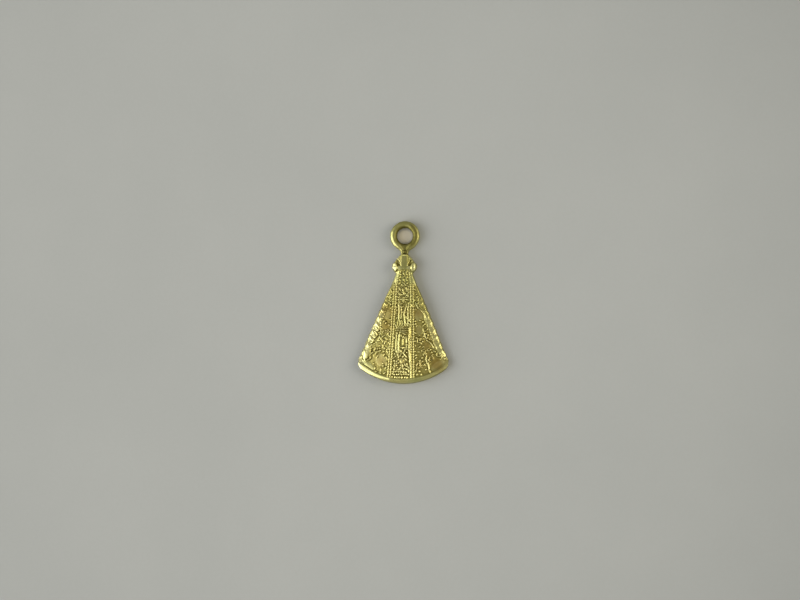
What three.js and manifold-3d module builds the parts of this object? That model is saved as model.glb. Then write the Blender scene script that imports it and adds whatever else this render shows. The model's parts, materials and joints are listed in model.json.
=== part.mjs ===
// A gilt hanging ornament: a crowned, fan-shaped mantle on a round eye, soldered up from small pieces.
// Millimetres, as it hangs: Z is up, X is the width, the front faces -Y and the origin is the eye's centre.
import * as THREE from "three";
import { mergeVertices } from "three/addons/utils/BufferGeometryUtils.js";
import Module from "manifold-3d";

const wasm = await Module();
wasm.setup();

// Solder seam between two pieces that are fixed to each other
const SEAM = 0.02;

// Hanging ring: a wire eye whose legs are drawn together to a neck
const RING_DIAMETER = 4.05;
const RING_WIRE = 0.95;
const NECK_WIDTH = 0.92;
const NECK_DEPTH = 0.52;
const NECK_LENGTH = 0.45;
const LEG_TURN = 136; // degrees of the round part on each side, counted from the top
const NECK_BEAD = 0.62;
const NECK_BEAD_PROUD = 0.07; // how far the bead's middle stands in front of the neck

// Back plate, flat behind the whole ornament
const BACK_Y = 0.5;
const PLATE_THICKNESS = 0.4;
const PLATE_INSET = 0.05; // how far the plate stays inside the outline

// Crown
const CROWN_HEIGHT = 1.65;
const CROWN_TOP_WIDTH = 1.1;
const CROWN_WIDTH = 2.66; // at its fullest
const CROWN_SWELL = 0.75; // share of a half wave that the sides follow down to the band
const CROWN_GROUND = 0.35; // thickness of the ground behind the recesses
const RIB_WIDTH = 0.84;
const RIB_HEIGHT = 0.55;
const RIB_FULLNESS = -0.45; // rounds its ends off, where a leaf's are drawn to points
const ARCH_WIRE = 0.34;
const ARCH_HEIGHT = 0.4;
const BAND_HEIGHT = 0.46;
const BAND_WIDTH = 2.0;
const BAND_DEPTH = 0.86;
const KNOB_WIDTH = 0.66;
const KNOB_HEIGHT = 1.2;
const KNOB_DEPTH = 0.86;
const KNOB_LIFT = 0.1; // how much higher than the band its middle is

// Hood under the crown band
const HOOD_HEIGHT = 2.05;
const HOOD_TOP_WIDTH = 2.0;
const HOOD_FLARE = 1.2; // power by which the flanks spread on their way down
const HOOD_FLAT_TOP = 1.24;
const HOOD_FLAT_FOOT = 2.0;
const HOOD_LEAF_WIDTH = 0.34;
const HOOD_LEAF_HEIGHT = 0.12;
const HOOD_LEAF_PITCH = 0.42;

// Mantle: a flat middle panel between two creases, and a field that slopes back on each side
const SHOULDER_WIDTH = 3.44;
const HEM_WIDTH = 12.2;
const SIDE_HEIGHT = 10.4; // from the shoulder to the widest place
const SIDE_BULGE = 0.15;
const FRONT_DEPTH_TOP = 0.8; // from the plate to the middle panel at the crown band
const FRONT_DEPTH_FOOT = 1.25; // the same at the lowest point of the hem
const CREASE_TOP = 1.09; // half width between the creases at the shoulder
const CREASE_FOOT = 1.6; // the same at the lowest point of the hem
const PANEL_SWING = 0.22; // how far to the left of the middle the panel ends, as a hand-made piece does
const FIELD_SETBACK = 0.95; // how far a field falls back from its crease to its side, where it is widest
const HEM_RADIUS = 9.55;
const PENDANT_DROP = 20.1; // from the eye's centre to the lowest point of the hem
const CORNER_ROUND = 0.5;

// Hem rim
const RIM_WIDTH = 0.58;
const RIM_LIFT = 0.14;

// Beaded wires beside the two creases
const BEAD_WIDTH = 0.3;
const BEAD_HEIGHT = 0.17;
const BEAD_PITCH = 0.5;
const BEAD_GAP = 0.03;

// Edge borders and the wires that divide them from the fields
const BORDER_OVERHANG = 0.12;
const BORDER_WIDTH = 0.6;
const BORDER_GROUND = 0.06;
const BORDER_FROM = 0.19; // shares of the way down a field
const BORDER_TO = 0.655;
const LOBE_WIDTH = 0.54;
const LOBE_LENGTH = 1.04;
const LOBE_HEIGHT = 0.18;
const LOBE_COUNT = 7;
const LOBE_TURN = 0.8; // radians from upright
const DIVIDER_WIRE = 0.16;
const DIVIDER_HEIGHT = 0.15;
const EDGE_RING = 0.4; // diameter to the middle of its wire
const VOLUTE_RADIUS = 0.5;
const VOLUTE_WIRE = 0.26;
const VOLUTE_HEIGHT = 0.18;
const VOLUTE_EYE = 0.4;
const VOLUTE_GAP = 0.02; // to the corner leaf
const VOLUTE_OUT = 0.1; // past the corner's bearing, along the hem's curve
const CORNER_LEAF_WIDTH = 0.86;
const CORNER_LEAF_LENGTH = 1.5;
const CORNER_LEAF_GAP = 0.06; // to the rim

// Relief of the middle panel and the fields
const FINE_WIRE = 0.15;
const FINE_HEIGHT = 0.15;
const FOLD_WIRE = 0.18;
const LEAF_HEIGHT = 0.14;
const LARGE_LEAF_WIDTH = 0.84;
const LARGE_LEAF_LENGTH = 1.5;
const LONG_LEAF_WIDTH = 0.6;
const LONG_LEAF_LENGTH = 1.2;
const SMALL_LEAF_WIDTH = 0.32;
const SMALL_LEAF_LENGTH = 0.84;
const SPRAY_LEAF_WIDTH = 0.27;
const SPRAY_LEAF_LENGTH = 0.68;
const SPRAY_SPREAD = 0.7; // radians between its leaves
const FLOWER = 0.72; // diameter
const C_SCROLL_RADIUS = 0.3;
const GRANULE = 0.3; // width
const CROSS_WIDTH = 0.34;
const CROSS_LENGTH = 1.0;
const CROSSBAR_WIDTH = 0.4;
const NICHE_WIRE = 0.24;
const HEM_BOSS = 0.76; // diameter
const HEM_BOSS_HEIGHT = 0.22;

// Heights, from the eye's centre down
const NECK_FOOT = -RING_DIAMETER / 2 - NECK_LENGTH;
const CROWN_TOP = NECK_FOOT - SEAM;
const CROWN_FOOT = CROWN_TOP - CROWN_HEIGHT;
const BAND_TOP = CROWN_FOOT - SEAM;
const BAND_FOOT = BAND_TOP - BAND_HEIGHT;
const HOOD_TOP = BAND_FOOT - SEAM;
const HOOD_FOOT = HOOD_TOP - HOOD_HEIGHT;
const MANTLE_TOP = HOOD_FOOT - SEAM;
const HEM_CENTRE = HEM_RADIUS - PENDANT_DROP;
const RIM_TOP = -PENDANT_DROP + RIM_WIDTH;
const KNOB_Z = (BAND_TOP + BAND_FOOT) / 2 + KNOB_LIFT;
const KNOB_TOP = KNOB_Z + KNOB_HEIGHT / 2;
const KNOB_FOOT = KNOB_Z - KNOB_HEIGHT / 2;
const PLATE_FRONT = BACK_Y - PLATE_THICKNESS;
const SEAT_Y = PLATE_FRONT - SEAM;

// Surfaces of three.js geometries as solids, joined and cut

function solidOf(geometry) {
  const bare = new THREE.BufferGeometry();
  bare.setAttribute("position", geometry.getAttribute("position"));
  if (geometry.index) bare.setIndex(geometry.index);
  const merged = mergeVertices(bare, 1e-4);
  return new wasm.Manifold(
    new wasm.Mesh({
      numProp: 3,
      vertProperties: merged.attributes.position.array,
      triVerts: new Uint32Array(merged.index.array),
    }),
  );
}

function geometryOf(solid) {
  const mesh = solid.getMesh();
  const geometry = new THREE.BufferGeometry();
  geometry.setAttribute("position", new THREE.BufferAttribute(mesh.vertProperties, 3));
  geometry.setIndex(new THREE.BufferAttribute(mesh.triVerts, 1));
  return geometry;
}

function join(geometries) {
  return geometryOf(geometries.map(solidOf).reduce((whole, next) => whole.add(next)));
}

function cut(geometry, tool) {
  return geometryOf(solidOf(geometry).subtract(solidOf(tool)));
}

function common(geometry, other) {
  return geometryOf(solidOf(geometry).intersect(solidOf(other)));
}

function middleOf(points) {
  const sum = new THREE.Vector3();
  points.forEach((point) => sum.add(point));
  return sum.divideScalar(points.length);
}

// A closed surface through a row of rings with the same number of points, capped at both ends
function loft(rings) {
  const count = rings[0].length;
  const last = (rings.length - 1) * count;
  const points = [...rings.flat(), middleOf(rings[0]), middleOf(rings.at(-1))];
  const faces = [];
  for (let i = 0; i < count; i++) {
    const j = (i + 1) % count;
    faces.push(last + count, j, i, last + count + 1, last + i, last + j);
    for (let row = 0; row < last; row += count) {
      faces.push(row + i, row + j, row + count + i);
      faces.push(row + j, row + count + j, row + count + i);
    }
  }
  if (signedVolume(points, faces) < 0) faces.reverse();
  const geometry = new THREE.BufferGeometry().setFromPoints(points);
  geometry.setIndex(faces);
  return geometry;
}

function signedVolume(points, faces) {
  const cross = new THREE.Vector3();
  let sum = 0;
  for (let i = 0; i < faces.length; i += 3) {
    const [a, b, c] = [0, 1, 2].map((k) => points[faces[i + k]]);
    sum += cross.crossVectors(a, b).dot(c);
  }
  return sum;
}

// Relief pieces are drawn in plan, u across and v up, and rise by w from the face that they sit on

const MOUND_STEPS = [
  [1, 0],
  [0.95, 0.5],
  [0.76, 0.86],
  [0.4, 1],
];

function mound(outline, height) {
  const middle = middleOf(outline);
  const ring = ([share, rise]) =>
    outline.map((point) => {
      const moved = point.clone().lerp(middle, 1 - share);
      return moved.setZ(SEAM + rise * height);
    });
  return loft(MOUND_STEPS.map(ring));
}

// An oval, drawn to points at its two ends as much as the sharpness says
function leafOutline(at, halfWidth, halfLength, turn = 0, sharpness = 0.35, count = 12) {
  const points = [];
  for (let i = 0; i < count; i++) {
    const angle = (2 * Math.PI * i) / count;
    const side = Math.sign(Math.sin(angle)) * Math.abs(Math.sin(angle)) ** (1 + sharpness);
    const point = new THREE.Vector3(halfWidth * side, halfLength * Math.cos(angle), 0);
    points.push(point.applyAxisAngle(new THREE.Vector3(0, 0, 1), turn).add(at));
  }
  return points;
}

function leaf(at, width, length, turn, height = LEAF_HEIGHT) {
  return mound(leafOutline(at, width / 2, length / 2, turn), height);
}

const largeLeaf = (at, turn) => leaf(at, LARGE_LEAF_WIDTH, LARGE_LEAF_LENGTH, turn);
const longLeaf = (at, turn) => leaf(at, LONG_LEAF_WIDTH, LONG_LEAF_LENGTH, turn);
const smallLeaf = (at, turn) => leaf(at, SMALL_LEAF_WIDTH, SMALL_LEAF_LENGTH, turn);

function disc(at, diameter, height) {
  return mound(leafOutline(at, diameter / 2, diameter / 2, 0, 0), height);
}

const WIRE_TIP = 0.45; // thickness of a wire's end, as a share of its middle

// A half-round wire along a plan curve, drawn out thin at its ends
function wire(points, width, height, count = 16) {
  const curve = new THREE.CatmullRomCurve3(points);
  const rings = steps(count).map((share) => {
    const full = Math.min(1, WIRE_TIP + 4 * Math.min(share, 1 - share));
    return halfRound(curve.getPointAt(share), curve.getTangentAt(share), (width / 2) * full, height * full);
  });
  return loft(rings);
}

function halfRound(at, along, halfWidth, height) {
  const across = new THREE.Vector3(-along.y, along.x, 0).normalize();
  return steps(4).map((share) => {
    const angle = Math.PI * share;
    const point = at.clone().addScaledVector(across, halfWidth * Math.cos(angle));
    return point.setZ(SEAM + height * Math.sin(angle));
  });
}

const BEAD_STEPS = [
  [0, 0.55],
  [0.3, 1],
  [0.7, 1],
];

// A straight row of beads that run into each other
function beadRow(from, to, width, height, pitch) {
  const count = Math.max(2, Math.round(from.distanceTo(to) / pitch));
  const along = to.clone().sub(from).normalize();
  const rings = [];
  for (let i = 0; i < count; i++) {
    for (const [step, size] of BEAD_STEPS) {
      const at = from.clone().lerp(to, (i + step) / count);
      rings.push(halfRound(at, along, (width / 2) * size, height * size));
    }
  }
  const [, last] = BEAD_STEPS[0];
  rings.push(halfRound(to, along, (width / 2) * last, height * last));
  return loft(rings);
}

// A flat ring of half-round section
function ringOrnament(at, radius, width, height) {
  const profile = steps(4).map((share) => {
    const angle = Math.PI * share;
    return new THREE.Vector2(radius + (width / 2) * Math.cos(angle), SEAM + height * Math.sin(angle));
  });
  const geometry = new THREE.LatheGeometry([...profile, profile[0]], 14);
  return geometry.rotateX(Math.PI / 2).translate(at.x, at.y, 0);
}

const SCROLL_CLOSES = 0.72; // share of its radius that a scroll has lost at its inner end

// Points of a scroll that winds inwards by the given number of turns
function scrollPoints(at, radius, turns, start, hand = 1) {
  return steps(Math.ceil(turns * 8)).map((share) => {
    const angle = start + hand * 2 * Math.PI * turns * share;
    return polar(at, radius * (1 - SCROLL_CLOSES * share), angle);
  });
}

function polar(at, reach, angle) {
  return new THREE.Vector3(at.x + reach * Math.cos(angle), at.y + reach * Math.sin(angle), 0);
}

// Shape of the front: heights and half widths at a height z

const MANTLE_HEIGHT = MANTLE_TOP + PENDANT_DROP;
const FRONT_LEAN = (FRONT_DEPTH_FOOT - FRONT_DEPTH_TOP) / (HOOD_TOP + PENDANT_DROP);
const CREASE_SPREAD = (CREASE_FOOT - CREASE_TOP) / MANTLE_HEIGHT;
const SWING = PANEL_SWING / MANTLE_HEIGHT;
const FIELD_SLOPE = FIELD_SETBACK / (HEM_WIDTH / 2 - crease(MANTLE_TOP - SIDE_HEIGHT));

function panelY(z) {
  return SEAT_Y - FRONT_DEPTH_TOP - FRONT_LEAN * (HOOD_TOP - z);
}

function crease(z) {
  return CREASE_TOP + CREASE_SPREAD * (MANTLE_TOP - z);
}

function panelMiddle(z) {
  return -SWING * (MANTLE_TOP - z);
}

// Depth of the panel and the fields at any place
function frontY(x, z) {
  return panelY(z) + FIELD_SLOPE * Math.max(0, Math.abs(x - panelMiddle(z)) - crease(z));
}

function sideHalf(z) {
  const share = (MANTLE_TOP - z) / SIDE_HEIGHT;
  const straight = (SHOULDER_WIDTH + (HEM_WIDTH - SHOULDER_WIDTH) * share) / 2;
  return straight + SIDE_BULGE * 4 * share * (1 - share);
}

const BEAD_OFFSET = BEAD_WIDTH / 2 + BEAD_GAP;
const BEADS_OUTER = BEAD_OFFSET + BEAD_WIDTH / 2;

// A place on a field: across from the beads (0) to the side (1), down from the shoulder (0) to the rim (1)
function fieldPoint(side, across, down) {
  const z = MANTLE_TOP + (RIM_TOP - MANTLE_TOP) * down;
  const inner = crease(z) + BEADS_OUTER + side * panelMiddle(z);
  return new THREE.Vector3(side * (inner + (sideHalf(z) - inner) * across), z, 0);
}

// A place on the middle panel: across from the left beads (-1) to the right beads (1)
function panelPoint(across, down) {
  const z = MANTLE_TOP + (RIM_TOP - MANTLE_TOP) * down;
  return new THREE.Vector3(panelMiddle(z) + across * (crease(z) - BEADS_OUTER), z, 0);
}

// The height where the side, moved in by an inset, meets a circle round the hem's centre
function cornerZ(inset, radius) {
  let above = HEM_CENTRE;
  let below = HEM_CENTRE - radius;
  for (let i = 0; i < 40; i++) {
    const z = (above + below) / 2;
    if (Math.hypot(sideHalf(z) - inset, z - HEM_CENTRE) > radius) below = z;
    else above = z;
  }
  return above;
}

// Right side of the fan from the shoulder down to the corner, then the hem arc to the middle
function fanSide(inset, radius) {
  const corner = cornerZ(inset, radius);
  const sharp = new THREE.Vector2(sideHalf(corner) - inset, corner);
  const sideFoot = corner + CORNER_ROUND;
  const wide = Math.asin(sharp.x / radius) - CORNER_ROUND / radius;
  const onSide = (z) => new THREE.Vector2(sideHalf(z) - inset, z);
  const onHem = (angle) =>
    new THREE.Vector2(radius * Math.sin(angle), HEM_CENTRE - radius * Math.cos(angle));
  const round = new THREE.QuadraticBezierCurve(onSide(sideFoot), sharp, onHem(wide));
  return [
    ...steps(8).map((share) => onSide(MANTLE_TOP + (sideFoot - MANTLE_TOP) * share)),
    ...steps(4).slice(1, -1).map((share) => round.getPoint(share)),
    ...steps(12).map((share) => onHem(wide * (1 - share))),
  ];
}

// Shares from 0 to 1 in equal steps
function steps(count) {
  return Array.from({ length: count + 1 }, (_, i) => i / count);
}

function mirrored(rightSide) {
  const left = rightSide.map((point) => new THREE.Vector2(-point.x, point.y));
  return [...rightSide, ...left.reverse().filter((point) => point.x < -1e-6)];
}

// A plate of the given plan outline between two depths
function plateBetween(outline, backY, frontY) {
  const shape = new THREE.Shape(outline);
  const geometry = new THREE.ExtrudeGeometry(shape, { depth: backY - frontY, bevelEnabled: false });
  return geometry.rotateX(Math.PI / 2).translate(0, backY, 0);
}

// Materials

function giltPolished() {
  return new THREE.MeshStandardMaterial({ color: 0xd2c672, roughness: 0.28, metalness: 1 });
}

function giltRelief() {
  return new THREE.MeshStandardMaterial({ color: 0xc4b662, roughness: 0.36, metalness: 1 });
}

function giltGround() {
  return new THREE.MeshStandardMaterial({ color: 0x8f8340, roughness: 0.55, metalness: 1 });
}

const polished = giltPolished();
const relief = giltRelief();
const ground = giltGround();

const pendant = new THREE.Group();

function addPiece(group, name, geometry, material) {
  const mesh = new THREE.Mesh(geometry, material);
  mesh.name = name;
  group.add(mesh);
}

// A group in which u, v and w of the plan become the face y = slope * x + lean * z + rest
function faceGroup(slope, lean, rest) {
  const group = new THREE.Group();
  group.matrixAutoUpdate = false;
  group.matrix.set(1, 0, 0, 0, slope, lean, -1, rest, 0, 1, 0, 0, 0, 0, 0, 1);
  pendant.add(group);
  return group;
}

function fieldFace(side) {
  const lean = FRONT_LEAN + FIELD_SLOPE * (CREASE_SPREAD - side * SWING);
  return faceGroup(side * FIELD_SLOPE, lean, panelY(0) - FIELD_SLOPE * (crease(0) + side * panelMiddle(0)));
}

const plateFace = faceGroup(0, 0, PLATE_FRONT);
const crownFace = faceGroup(0, 0, SEAT_Y - CROWN_GROUND);
const panelFace = faceGroup(0, FRONT_LEAN, panelY(0));
const fieldFaces = { left: fieldFace(-1), right: fieldFace(1) };
const SIDES = { left: -1, right: 1 };

// Hanging ring

const RING_FACETS = 12;
const LEG_WIRE = NECK_DEPTH / 2; // radius of each leg at its foot
const RING_RADIUS = (RING_DIAMETER - RING_WIRE) / 2;

function ringLeg(turn) {
  const end = new THREE.Vector2(RING_RADIUS * Math.sin(turn), RING_RADIUS * Math.cos(turn));
  const along = new THREE.Vector2(Math.cos(turn), -Math.sin(turn));
  const foot = new THREE.Vector2(NECK_WIDTH / 2 - LEG_WIRE * 0.75, NECK_FOOT + NECK_LENGTH / 4);
  const leave = end.clone().addScaledVector(along, RING_RADIUS / 3);
  const arrive = foot.clone().setY(foot.y + RING_RADIUS * 0.4);
  return new THREE.CubicBezierCurve(end, leave, arrive, foot);
}

function ringPath() {
  const turn = THREE.MathUtils.degToRad(LEG_TURN);
  const leg = ringLeg(turn);
  const round = steps(12).map((share) => {
    const angle = turn * share;
    return { x: RING_RADIUS * Math.sin(angle), z: RING_RADIUS * Math.cos(angle), wire: RING_WIRE / 2 };
  });
  const straight = steps(6).slice(1).map((share) => {
    const point = leg.getPoint(share);
    const thin = THREE.MathUtils.smoothstep(share, 0.1, 1);
    return { x: point.x, z: point.y, wire: THREE.MathUtils.lerp(RING_WIRE / 2, LEG_WIRE, thin) };
  });
  const right = [...round, ...straight];
  const left = right.slice(1).map((place) => ({ ...place, x: -place.x }));
  return [...left.reverse(), ...right];
}

function ringWire() {
  const path = ringPath();
  const rings = path.map((place, i) => {
    const before = path[Math.max(i - 1, 0)];
    const after = path[Math.min(i + 1, path.length - 1)];
    const along = new THREE.Vector3(after.x - before.x, 0, after.z - before.z).normalize();
    const across = new THREE.Vector3(-along.z, 0, along.x);
    return facets((cos, sin) => {
      const point = new THREE.Vector3(place.x, place.wire * sin, place.z);
      return point.addScaledVector(across, place.wire * cos);
    });
  });
  return loft(rings);
}

function facets(pointAt) {
  return Array.from({ length: RING_FACETS }, (_, k) => {
    const angle = (2 * Math.PI * k) / RING_FACETS;
    return pointAt(Math.cos(angle), Math.sin(angle));
  });
}

// The web that closes the gap between the legs, from the hole down to the neck's foot
function neckWeb() {
  const hole = -RING_DIAMETER / 2 + RING_WIRE;
  const levels = [
    { z: hole, share: 0.3 },
    { z: hole - RING_WIRE * 0.15, share: 0.75 },
    { z: THREE.MathUtils.lerp(hole, NECK_FOOT, 0.6), share: 0.9 },
    { z: THREE.MathUtils.lerp(hole, NECK_FOOT, 0.85), share: 1 },
    { z: NECK_FOOT, share: 1.04 },
  ];
  const ring = ({ z, share }) => {
    const across = (NECK_WIDTH / 2) * share;
    const deep = (NECK_DEPTH / 2) * share;
    return facets((cos, sin) => new THREE.Vector3(across * cos, deep * sin, z));
  };
  return loft(levels.map(ring));
}

function neckBead(clearance) {
  const ball = new THREE.SphereGeometry(NECK_BEAD / 2 + clearance, 12, 8);
  return ball.translate(0, -NECK_DEPTH / 2 - NECK_BEAD_PROUD, NECK_FOOT + NECK_BEAD * 0.45);
}

function hangingRing() {
  return cut(join([ringWire(), neckWeb()]), neckBead(SEAM));
}

addPiece(pendant, "hanging_ring", hangingRing(), polished);
addPiece(pendant, "neck_bead", neckBead(0), polished);

// Back plate

function crownHalf(z) {
  const share = (CROWN_TOP - z) / CROWN_HEIGHT;
  const swell = Math.sin(Math.PI * CROWN_SWELL * share);
  return (CROWN_TOP_WIDTH + (CROWN_WIDTH - CROWN_TOP_WIDTH) * swell) / 2;
}

// Right side of the crown from its top down to a height above the knob
function crownSide(inset, foot) {
  return steps(8).map((share) => {
    const z = THREE.MathUtils.lerp(CROWN_TOP, foot, share);
    return new THREE.Vector2(crownHalf(z) - inset, z);
  });
}

function backPlate() {
  const side = [
    ...crownSide(PLATE_INSET, KNOB_TOP),
    new THREE.Vector2((BAND_WIDTH + KNOB_WIDTH) / 2, KNOB_Z),
    new THREE.Vector2(HOOD_TOP_WIDTH / 2 - PLATE_INSET, KNOB_FOOT),
    ...fanSide(PLATE_INSET, HEM_RADIUS - PLATE_INSET),
  ];
  return plateBetween(mirrored(side), BACK_Y, PLATE_FRONT);
}

addPiece(pendant, "back_plate", backPlate(), ground);

// Crown

function crownBody() {
  const notch = KNOB_TOP + SEAM;
  const side = [
    ...crownSide(0, notch),
    new THREE.Vector2(BAND_WIDTH / 2, notch),
    new THREE.Vector2(BAND_WIDTH / 2, CROWN_FOOT),
  ];
  return plateBetween(mirrored(side), SEAT_Y, SEAT_Y - CROWN_GROUND);
}

function crownRib() {
  const middle = new THREE.Vector3(0, (CROWN_TOP + CROWN_FOOT) / 2, 0);
  const outline = leafOutline(middle, RIB_WIDTH / 2, CROWN_HEIGHT / 2 - SEAM, 0, RIB_FULLNESS, 16);
  return mound(outline, RIB_HEIGHT);
}

// An arch springs from the top beside the rib and ends on its knob
function crownArch(side) {
  const points = steps(6).map((share) => {
    const z = THREE.MathUtils.lerp(CROWN_TOP - ARCH_WIRE / 3, KNOB_TOP + ARCH_WIRE / 4, share);
    const x = Math.max(crownHalf(z) - ARCH_WIRE / 2, (RIB_WIDTH + ARCH_WIRE) / 2);
    return new THREE.Vector3(side * x, z, 0);
  });
  return wire(points, ARCH_WIRE, ARCH_HEIGHT);
}

function crownBand() {
  const z = (BAND_TOP + BAND_FOOT) / 2;
  const across = new THREE.Vector3(1, 0, 0);
  const section = (share) => {
    const at = new THREE.Vector3(BAND_WIDTH * (share - 0.5), z, 0);
    return halfRound(at, across, BAND_HEIGHT / 2, BAND_DEPTH);
  };
  return loft(steps(4).map(section));
}

function crownKnob(side) {
  const ball = new THREE.SphereGeometry(0.5, 14, 10);
  const out = BAND_WIDTH / 2 + KNOB_WIDTH * 0.45;
  const middle = new THREE.Vector3(side * out, SEAT_Y - KNOB_DEPTH / 2, KNOB_Z);
  ball.scale(KNOB_WIDTH, KNOB_DEPTH, KNOB_HEIGHT).translate(...middle);
  const inside = new THREE.BoxGeometry(BAND_WIDTH + 2 * SEAM, KNOB_DEPTH * 2, KNOB_HEIGHT * 2);
  return cut(ball, inside.translate(0, middle.y, middle.z));
}

addPiece(pendant, "crown_body", crownBody(), ground);
addPiece(crownFace, "crown_rib", crownRib(), polished);
addPiece(plateFace, "crown_band", crownBand(), polished);
for (const [word, side] of Object.entries(SIDES)) {
  addPiece(crownFace, "crown_arch_" + word, crownArch(side), polished);
  addPiece(pendant, "crown_knob_" + word, crownKnob(side), polished);
}

// Hood

function hood() {
  const rings = steps(4).map((share) => {
    const z = HOOD_TOP - HOOD_HEIGHT * share;
    const half = THREE.MathUtils.lerp(HOOD_TOP_WIDTH, SHOULDER_WIDTH, share ** HOOD_FLARE) / 2;
    const flat = THREE.MathUtils.lerp(HOOD_FLAT_TOP, HOOD_FLAT_FOOT, share) / 2;
    const front = panelY(z);
    const right = [
      [half, SEAT_Y],
      [half, THREE.MathUtils.lerp(SEAT_Y, front, 0.35)],
      [THREE.MathUtils.lerp(half, flat, 0.3), THREE.MathUtils.lerp(SEAT_Y, front, 0.78)],
      [flat, front],
    ];
    const left = right.map(([x, y]) => [-x, y]).reverse();
    return [...right, ...left].map(([x, y]) => new THREE.Vector3(x, y, z));
  });
  return loft(rings);
}

function hoodLeaves(across) {
  const from = new THREE.Vector3(across, HOOD_TOP - SEAM, 0);
  const to = new THREE.Vector3(across, HOOD_FOOT + SEAM, 0);
  return beadRow(from, to, HOOD_LEAF_WIDTH, HOOD_LEAF_HEIGHT, HOOD_LEAF_PITCH);
}

addPiece(pendant, "hood", hood(), polished);
const leafStep = (HOOD_FLAT_TOP - HOOD_LEAF_WIDTH) / 2;
addPiece(panelFace, "hood_leaves_left", hoodLeaves(-leafStep), relief);
addPiece(panelFace, "hood_leaves_middle", hoodLeaves(0), relief);
addPiece(panelFace, "hood_leaves_right", hoodLeaves(leafStep), relief);

// Mantle body and hem rim

const BEYOND = 1; // how far a cutting solid reaches past the piece that it shapes

function mantleBody() {
  const half = (side, z) => {
    const outside = side * (HEM_WIDTH + BEYOND);
    const edge = panelMiddle(z) + side * crease(z);
    return [
      new THREE.Vector3(outside, BACK_Y + BEYOND, z),
      new THREE.Vector3(outside, frontY(outside, z), z),
      new THREE.Vector3(edge, panelY(z), z),
    ];
  };
  const ends = [MANTLE_TOP + BEYOND, -PENDANT_DROP - BEYOND];
  const wedge = ends.map((z) => [...half(1, z), ...half(-1, z).reverse()]);
  const outline = mirrored(fanSide(BORDER_OVERHANG, HEM_RADIUS - RIM_WIDTH - SEAM));
  return common(loft(wedge), plateBetween(outline, SEAT_Y, -HEM_WIDTH));
}

// Section of the rim: shares of its width, and of its depth from the seat to the front
const RIM_SECTION = [
  { out: 0, deep: 0 },
  { out: 0.92, deep: 0 },
  { out: 1, deep: 0.25 },
  { out: 1, deep: 0.62 },
  { out: 0.82, deep: 0.88 },
  { out: 0.45, deep: 1 },
  { out: 0.12, deep: 0.93 },
  { out: 0, deep: 0.85 },
];

// The rim's front follows the faces above it, lifted by the same amount all along
function hemRim() {
  const corner = cornerZ(0, HEM_RADIUS);
  const wide = Math.asin(sideHalf(corner) / HEM_RADIUS);
  const inner = HEM_RADIUS - RIM_WIDTH;
  const rings = steps(28).map((share) => {
    const turn = 2 * share - 1;
    const angle = wide * turn;
    const onHem = (radius, y) =>
      new THREE.Vector3(radius * Math.sin(angle), y, HEM_CENTRE - radius * Math.cos(angle));
    const edge = onHem(inner, 0);
    const front = frontY(edge.x, edge.z) - RIM_LIFT;
    const full = Math.sqrt(Math.max(0.12, 1 - Math.abs(turn) ** 24));
    return RIM_SECTION.map(({ out, deep }) =>
      onHem(inner + RIM_WIDTH * out * full, THREE.MathUtils.lerp(SEAT_Y, front, deep)),
    );
  });
  return loft(rings);
}

addPiece(pendant, "mantle_body", mantleBody(), ground);
addPiece(pendant, "hem_rim", hemRim(), polished);

// Beaded wires, from the hood down to the rim

function beadedWire(side, offset) {
  const reach = Math.abs(panelMiddle(RIM_TOP)) + crease(RIM_TOP) + offset + BEAD_WIDTH / 2;
  const foot = HEM_CENTRE - Math.sqrt((HEM_RADIUS - RIM_WIDTH) ** 2 - reach ** 2) + SEAM;
  const place = (z) => new THREE.Vector3(panelMiddle(z) + side * (crease(z) + offset), z, 0);
  return beadRow(place(MANTLE_TOP - SEAM), place(foot), BEAD_WIDTH, BEAD_HEIGHT, BEAD_PITCH);
}

for (const [word, side] of Object.entries(SIDES)) {
  addPiece(panelFace, "beaded_wire_inner_" + word, beadedWire(side, -BEAD_OFFSET), relief);
  addPiece(fieldFaces[word], "beaded_wire_outer_" + word, beadedWire(side, BEAD_OFFSET), relief);
}

// Edge borders, with the wires, rings, volutes and leaves that belong to them

function borderRibbon(side) {
  const heights = steps(12).map((share) => {
    const down = THREE.MathUtils.lerp(BORDER_FROM, BORDER_TO, share);
    return fieldPoint(side, 0, down).y;
  });
  const outer = heights.map((z) => new THREE.Vector2(side * sideHalf(z), z));
  const inner = heights.map((z) => new THREE.Vector2(side * (sideHalf(z) - BORDER_WIDTH), z));
  const shape = new THREE.Shape([...outer, ...inner.reverse()]);
  const geometry = new THREE.ExtrudeGeometry(shape, { depth: BORDER_GROUND, bevelEnabled: false });
  return geometry.translate(0, 0, SEAM);
}

function edgeBorder(side) {
  const lobes = Array.from({ length: LOBE_COUNT }, (_, i) => {
    const at = fieldPoint(side, 1, THREE.MathUtils.lerp(BORDER_FROM, BORDER_TO, (i + 0.5) / LOBE_COUNT));
    at.x -= side * (BORDER_WIDTH / 2 - BORDER_OVERHANG / 3);
    return leaf(at, LOBE_WIDTH, LOBE_LENGTH, side * LOBE_TURN, LOBE_HEIGHT);
  });
  return join([borderRibbon(side), ...lobes]);
}

function dividerWire(side) {
  const route = [
    [0.12, 0.19],
    [0.26, 0.235],
    [0.42, 0.275],
    [0.5, 0.32],
    [0.53, 0.38],
    [0.5, 0.44],
    [0.46, 0.51],
    [0.5, 0.58],
    [0.62, 0.62],
    [0.66, 0.66],
  ];
  const points = route.map(([across, down]) => fieldPoint(side, across, down));
  return wire(points, DIVIDER_WIRE, DIVIDER_HEIGHT, 24);
}

function edgeRing(side) {
  return ringOrnament(fieldPoint(side, 0.68, 0.148), EDGE_RING / 2, FINE_WIRE, FINE_HEIGHT);
}

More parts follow.
